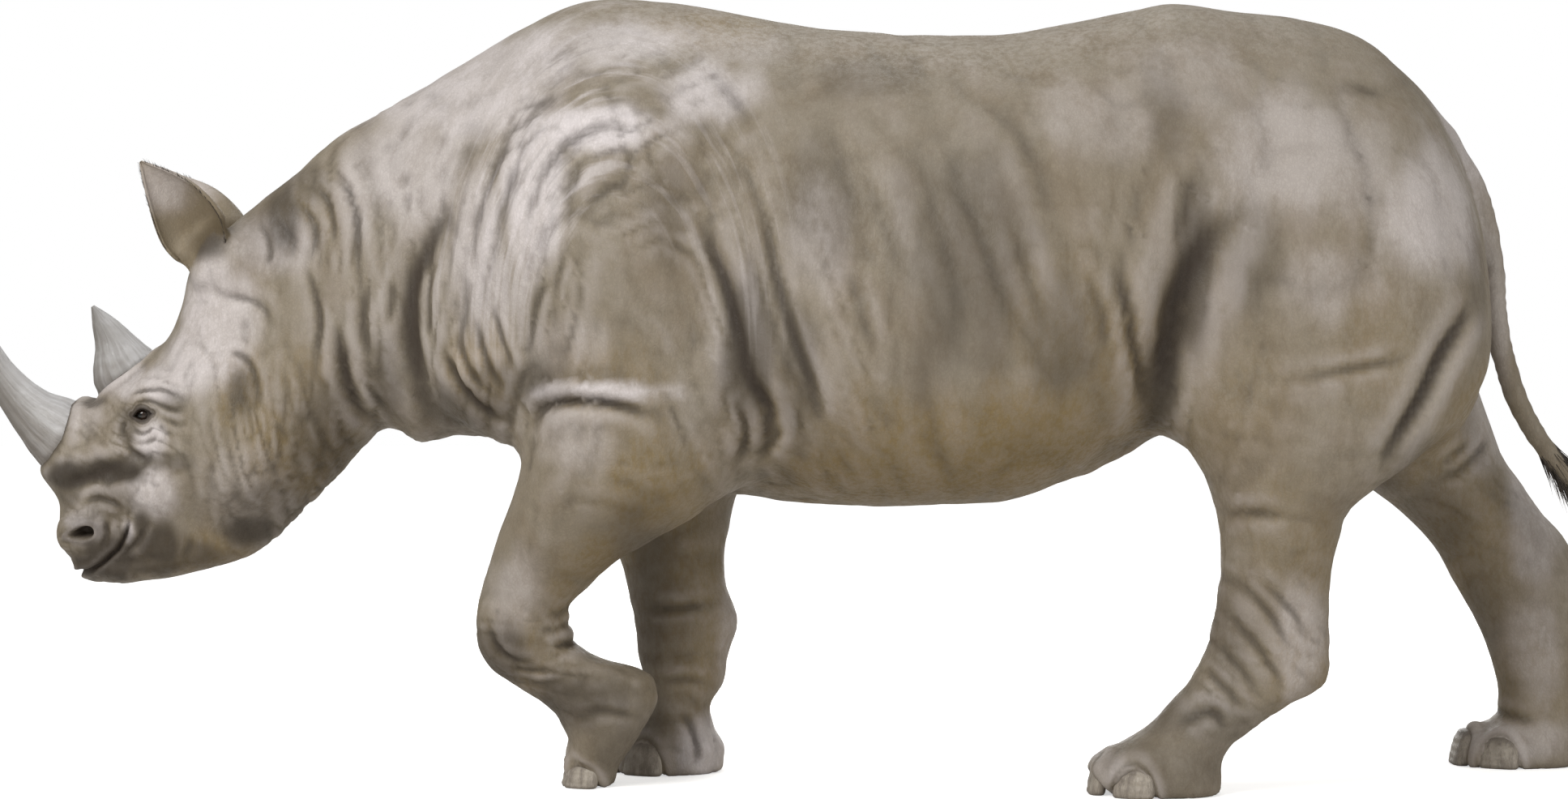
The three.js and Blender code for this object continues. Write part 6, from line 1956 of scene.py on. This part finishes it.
class RHINO_OT_hide(Operator):
    """Builds the hide with ears and tail"""

    bl_idname = "rhino.hide"
    bl_label = "Hide"

    def execute(self, context):
        sizes = context.scene.rhino_hide
        others = [ear_surface(-1), ear_surface(1), tail_surface()]
        points, faces = united(bare_hide(), others)
        on_flesh = np.abs(flesh(points)) < ON_FLESH
        points = healed(points, faces, on_flesh)
        points, numbers = sculpted(points, faces, on_flesh, sizes.folds, sizes.wrinkles)
        piece = mesh_object("hide", points, faces, numbers)
        nodes = ["head", "neck", "torso", "ear_left", "ear_right", "tail"]
        nodes += [f"leg_{foot}" for foot in FEET]
        dress(piece, hide_material(sizes), "skin", *nodes)
        return {"FINISHED"}


class RHINO_OT_horns(Operator):
    """Builds the two horns"""

    bl_idname = "rhino.horns"
    bl_label = "Horns"

    def execute(self, context):
        sizes = context.scene.rhino_horn
        material = horn_material(sizes)
        for name, rows, steps, node, seed in (
            ("front_horn", HORN_FRONT, 210, "horn_front", 201),
            ("rear_horn", HORN_REAR, 130, "horn_rear", 211),
        ):
            piece = mesh_object(name, *horn_surface(rows, steps, 120, seed, sizes.flare))
            dress(piece, material, "horn", node)
        return {"FINISHED"}


class RHINO_OT_nails(Operator):
    """Builds the three nails of each foot"""

    bl_idname = "rhino.nails"
    bl_label = "Nails"

    def execute(self, context):
        material = nail_material(context.scene.rhino_nail)
        for seed, (foot, name, centre, turn, radii) in enumerate(nail_places()):
            piece = mesh_object(f"toe_{foot}_{name}", *nail_surface(centre, turn, radii, 300 + 2 * seed))
            dress(piece, material, "nail", f"nail_{foot}_{name}")
        return {"FINISHED"}


class RHINO_OT_eyes(Operator):
    """Builds the two eyeballs"""

    bl_idname = "rhino.eyes"
    bl_label = "Eyes"

    def execute(self, context):
        sizes = context.scene.rhino_eye
        material = eye_material(sizes)
        for side, word in WORDS.items():
            piece = mesh_object(f"eyeball_{word}", *eye_surface(side, sizes.pupil))
            dress(piece, material, "eye", f"eye_{word}")
        return {"FINISHED"}


class RHINO_OT_hair(Operator):
    """Builds the tail's tuft, the fringes of the ears and the lashes"""

    bl_idname = "rhino.hair"
    bl_label = "Hair"

    def execute(self, context):
        sizes = context.scene.rhino_hair
        material = hair_material(sizes)
        dress(tail_tuft(sizes.tuft_count, sizes.tuft_length, sizes.seed), material, "hair")
        for side in (-1, 1):
            seed = sizes.seed + side
            dress(ear_fringe(side, sizes.fringe_count, sizes.fringe_length, seed), material, "hair")
            dress(eyelashes(side, sizes.lash_count, sizes.lash_length, seed), material, "hair")
        return {"FINISHED"}


class RHINO_OT_stage(Operator):
    """Builds the floor, the camera and the lights"""

    bl_idname = "rhino.stage"
    bl_label = "Stage"

    def execute(self, context):
        sizes = context.scene.rhino_stage
        stage_floor()
        camera_at(sizes)
        soft_light("key", (-3.4, -4.6, 4.6), 3.2, sizes.key, (1.0, 0.985, 0.96))
        soft_light("fill", (4.6, -4.2, 2.0), 3.0, sizes.fill, (1.0, 0.985, 0.965))
        soft_light("rim", (0.5, 2.2, 5.5), 3.0, sizes.key * 0.25, (1.0, 1.0, 1.0))
        soft_light("back", (1.0, 6.4, 1.8), 3.0, sizes.fill * 1.3, (1.0, 0.985, 0.965))
        world = bpy.data.worlds.new("Studio")
        world.use_nodes = True
        sky = Nodes(world.node_tree)
        seen = sky.add("LightPath").outputs["Is Camera Ray"]
        background = world.node_tree.nodes["Background"].inputs
        sky.put(background["Color"], sky.mix(seen, (1.0, 0.985, 0.955), (1.0, 1.0, 1.0)))
        sky.put(background["Strength"], sky.between(seen, 0.0, 1.0, sizes.sky, 1.0))
        context.scene.world = world
        context.scene.view_settings.view_transform = "Standard"
        return {"FINISHED"}


def stage_floor():
    """A flat pale floor that reaches far past every view."""
    half = 45.0
    points = np.array([(x, y, 0) for y in (-half, half) for x in (-half, half)])
    floor = mesh_object("floor", points, np.array([(0, 1, 3, 2)]), at_shift=False)
    floor.data.materials.append(paper_material())


def paper_material():
    """Bright paper to the camera, which throws less light back under the animal."""
    material, n, shader, _ = material_of("Studio paper", 0.9)
    cloud = n.noise(n.place(), 0.6, 2)
    n.put(shader.inputs["Base Color"], n.mix(cloud, (0.86, 0.86, 0.86), (0.90, 0.90, 0.90)))
    where = n.add("VectorMath", {"operation": "LENGTH"}, Vector=n.place()).outputs["Value"]
    glow = n.add("Emission", None, Color=(1.0, 1.0, 1.0), Strength=n.between(where, 2.5, 9.0, 0.55, 0.80))
    bright = n.add("AddShader")
    n.put(bright.inputs[0], shader.outputs[0])
    n.put(bright.inputs[1], glow.outputs[0])
    dull = n.add("BsdfDiffuse", None, Color=(0.72, 0.70, 0.67))
    seen = n.add("LightPath").outputs["Is Camera Ray"]
    both = n.add("MixShader")
    n.put(both.inputs[0], seen)
    n.put(both.inputs[1], dull.outputs[0])
    n.put(both.inputs[2], bright.outputs[0])
    n.put(material.node_tree.nodes["Material Output"].inputs["Surface"], both.outputs[0])
    return material


def camera_at(sizes):
    """The level camera of the view, looking along +Y."""
    data = bpy.data.cameras.new("Camera")
    data.sensor_fit = "HORIZONTAL"
    data.sensor_width = 36.0
    data.lens = data.sensor_width * sizes.distance / sizes.width
    camera = bpy.data.objects.new("Camera", data)
    camera.location = (SHIFT[0], -sizes.distance, sizes.height)
    camera.rotation_euler = (math.pi / 2, 0, 0)
    bpy.context.scene.collection.objects.link(camera)
    bpy.context.scene.camera = camera


def soft_light(name, place, size, power, colour):
    """A square area light that looks at the middle of the animal."""
    data = bpy.data.lights.new(name, "AREA")
    data.size = size
    data.energy = power
    data.color = colour
    light = bpy.data.objects.new(name, data)
    light.location = place
    target = Vector((0, 0, 0.8))
    light.rotation_euler = (target - Vector(place)).to_track_quat("-Z", "Y").to_euler()
    bpy.context.scene.collection.objects.link(light)


class RHINO_PT_sidebar(Panel):
    """The sizes, colours and steps of the rhinoceros"""

    bl_label = "Rhinoceros"
    bl_idname = "RHINO_PT_sidebar"
    bl_space_type = "VIEW_3D"
    bl_region_type = "UI"
    bl_category = "Rhinoceros"

    def draw(self, context):
        for key, operator in STEPS_IN_ORDER:
            box = self.layout.box()
            settings = getattr(context.scene, key)
            for name in settings.__annotations__:
                box.prop(settings, name)
            box.operator(operator)


SETTINGS = {
    "rhino_hide": HideSettings,
    "rhino_horn": HornSettings,
    "rhino_nail": NailSettings,
    "rhino_eye": EyeSettings,
    "rhino_hair": HairSettings,
    "rhino_stage": StageSettings,
}
STEPS_IN_ORDER = (
    ("rhino_hide", "rhino.hide"),
    ("rhino_horn", "rhino.horns"),
    ("rhino_nail", "rhino.nails"),
    ("rhino_eye", "rhino.eyes"),
    ("rhino_hair", "rhino.hair"),
    ("rhino_stage", "rhino.stage"),
)
OPERATORS = (RHINO_OT_hide, RHINO_OT_horns, RHINO_OT_nails, RHINO_OT_eyes, RHINO_OT_hair, RHINO_OT_stage)


def register():
    """Makes the classes and settings known to Blender."""
    for key, group in SETTINGS.items():
        bpy.utils.register_class(group)
        setattr(bpy.types.Scene, key, PointerProperty(type=group))
    for operator in OPERATORS:
        bpy.utils.register_class(operator)
    bpy.utils.register_class(RHINO_PT_sidebar)


def unregister():
    """Takes them away again."""
    bpy.utils.unregister_class(RHINO_PT_sidebar)
    for operator in reversed(OPERATORS):
        bpy.utils.unregister_class(operator)
    for key, group in reversed(SETTINGS.items()):
        delattr(bpy.types.Scene, key)
        bpy.utils.unregister_class(group)


def main():
    """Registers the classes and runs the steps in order."""
    register()
    for _, operator in STEPS_IN_ORDER:
        group, name = operator.split(".")
        getattr(getattr(bpy.ops, group), name)()


if __name__ == "__main__":
    main()
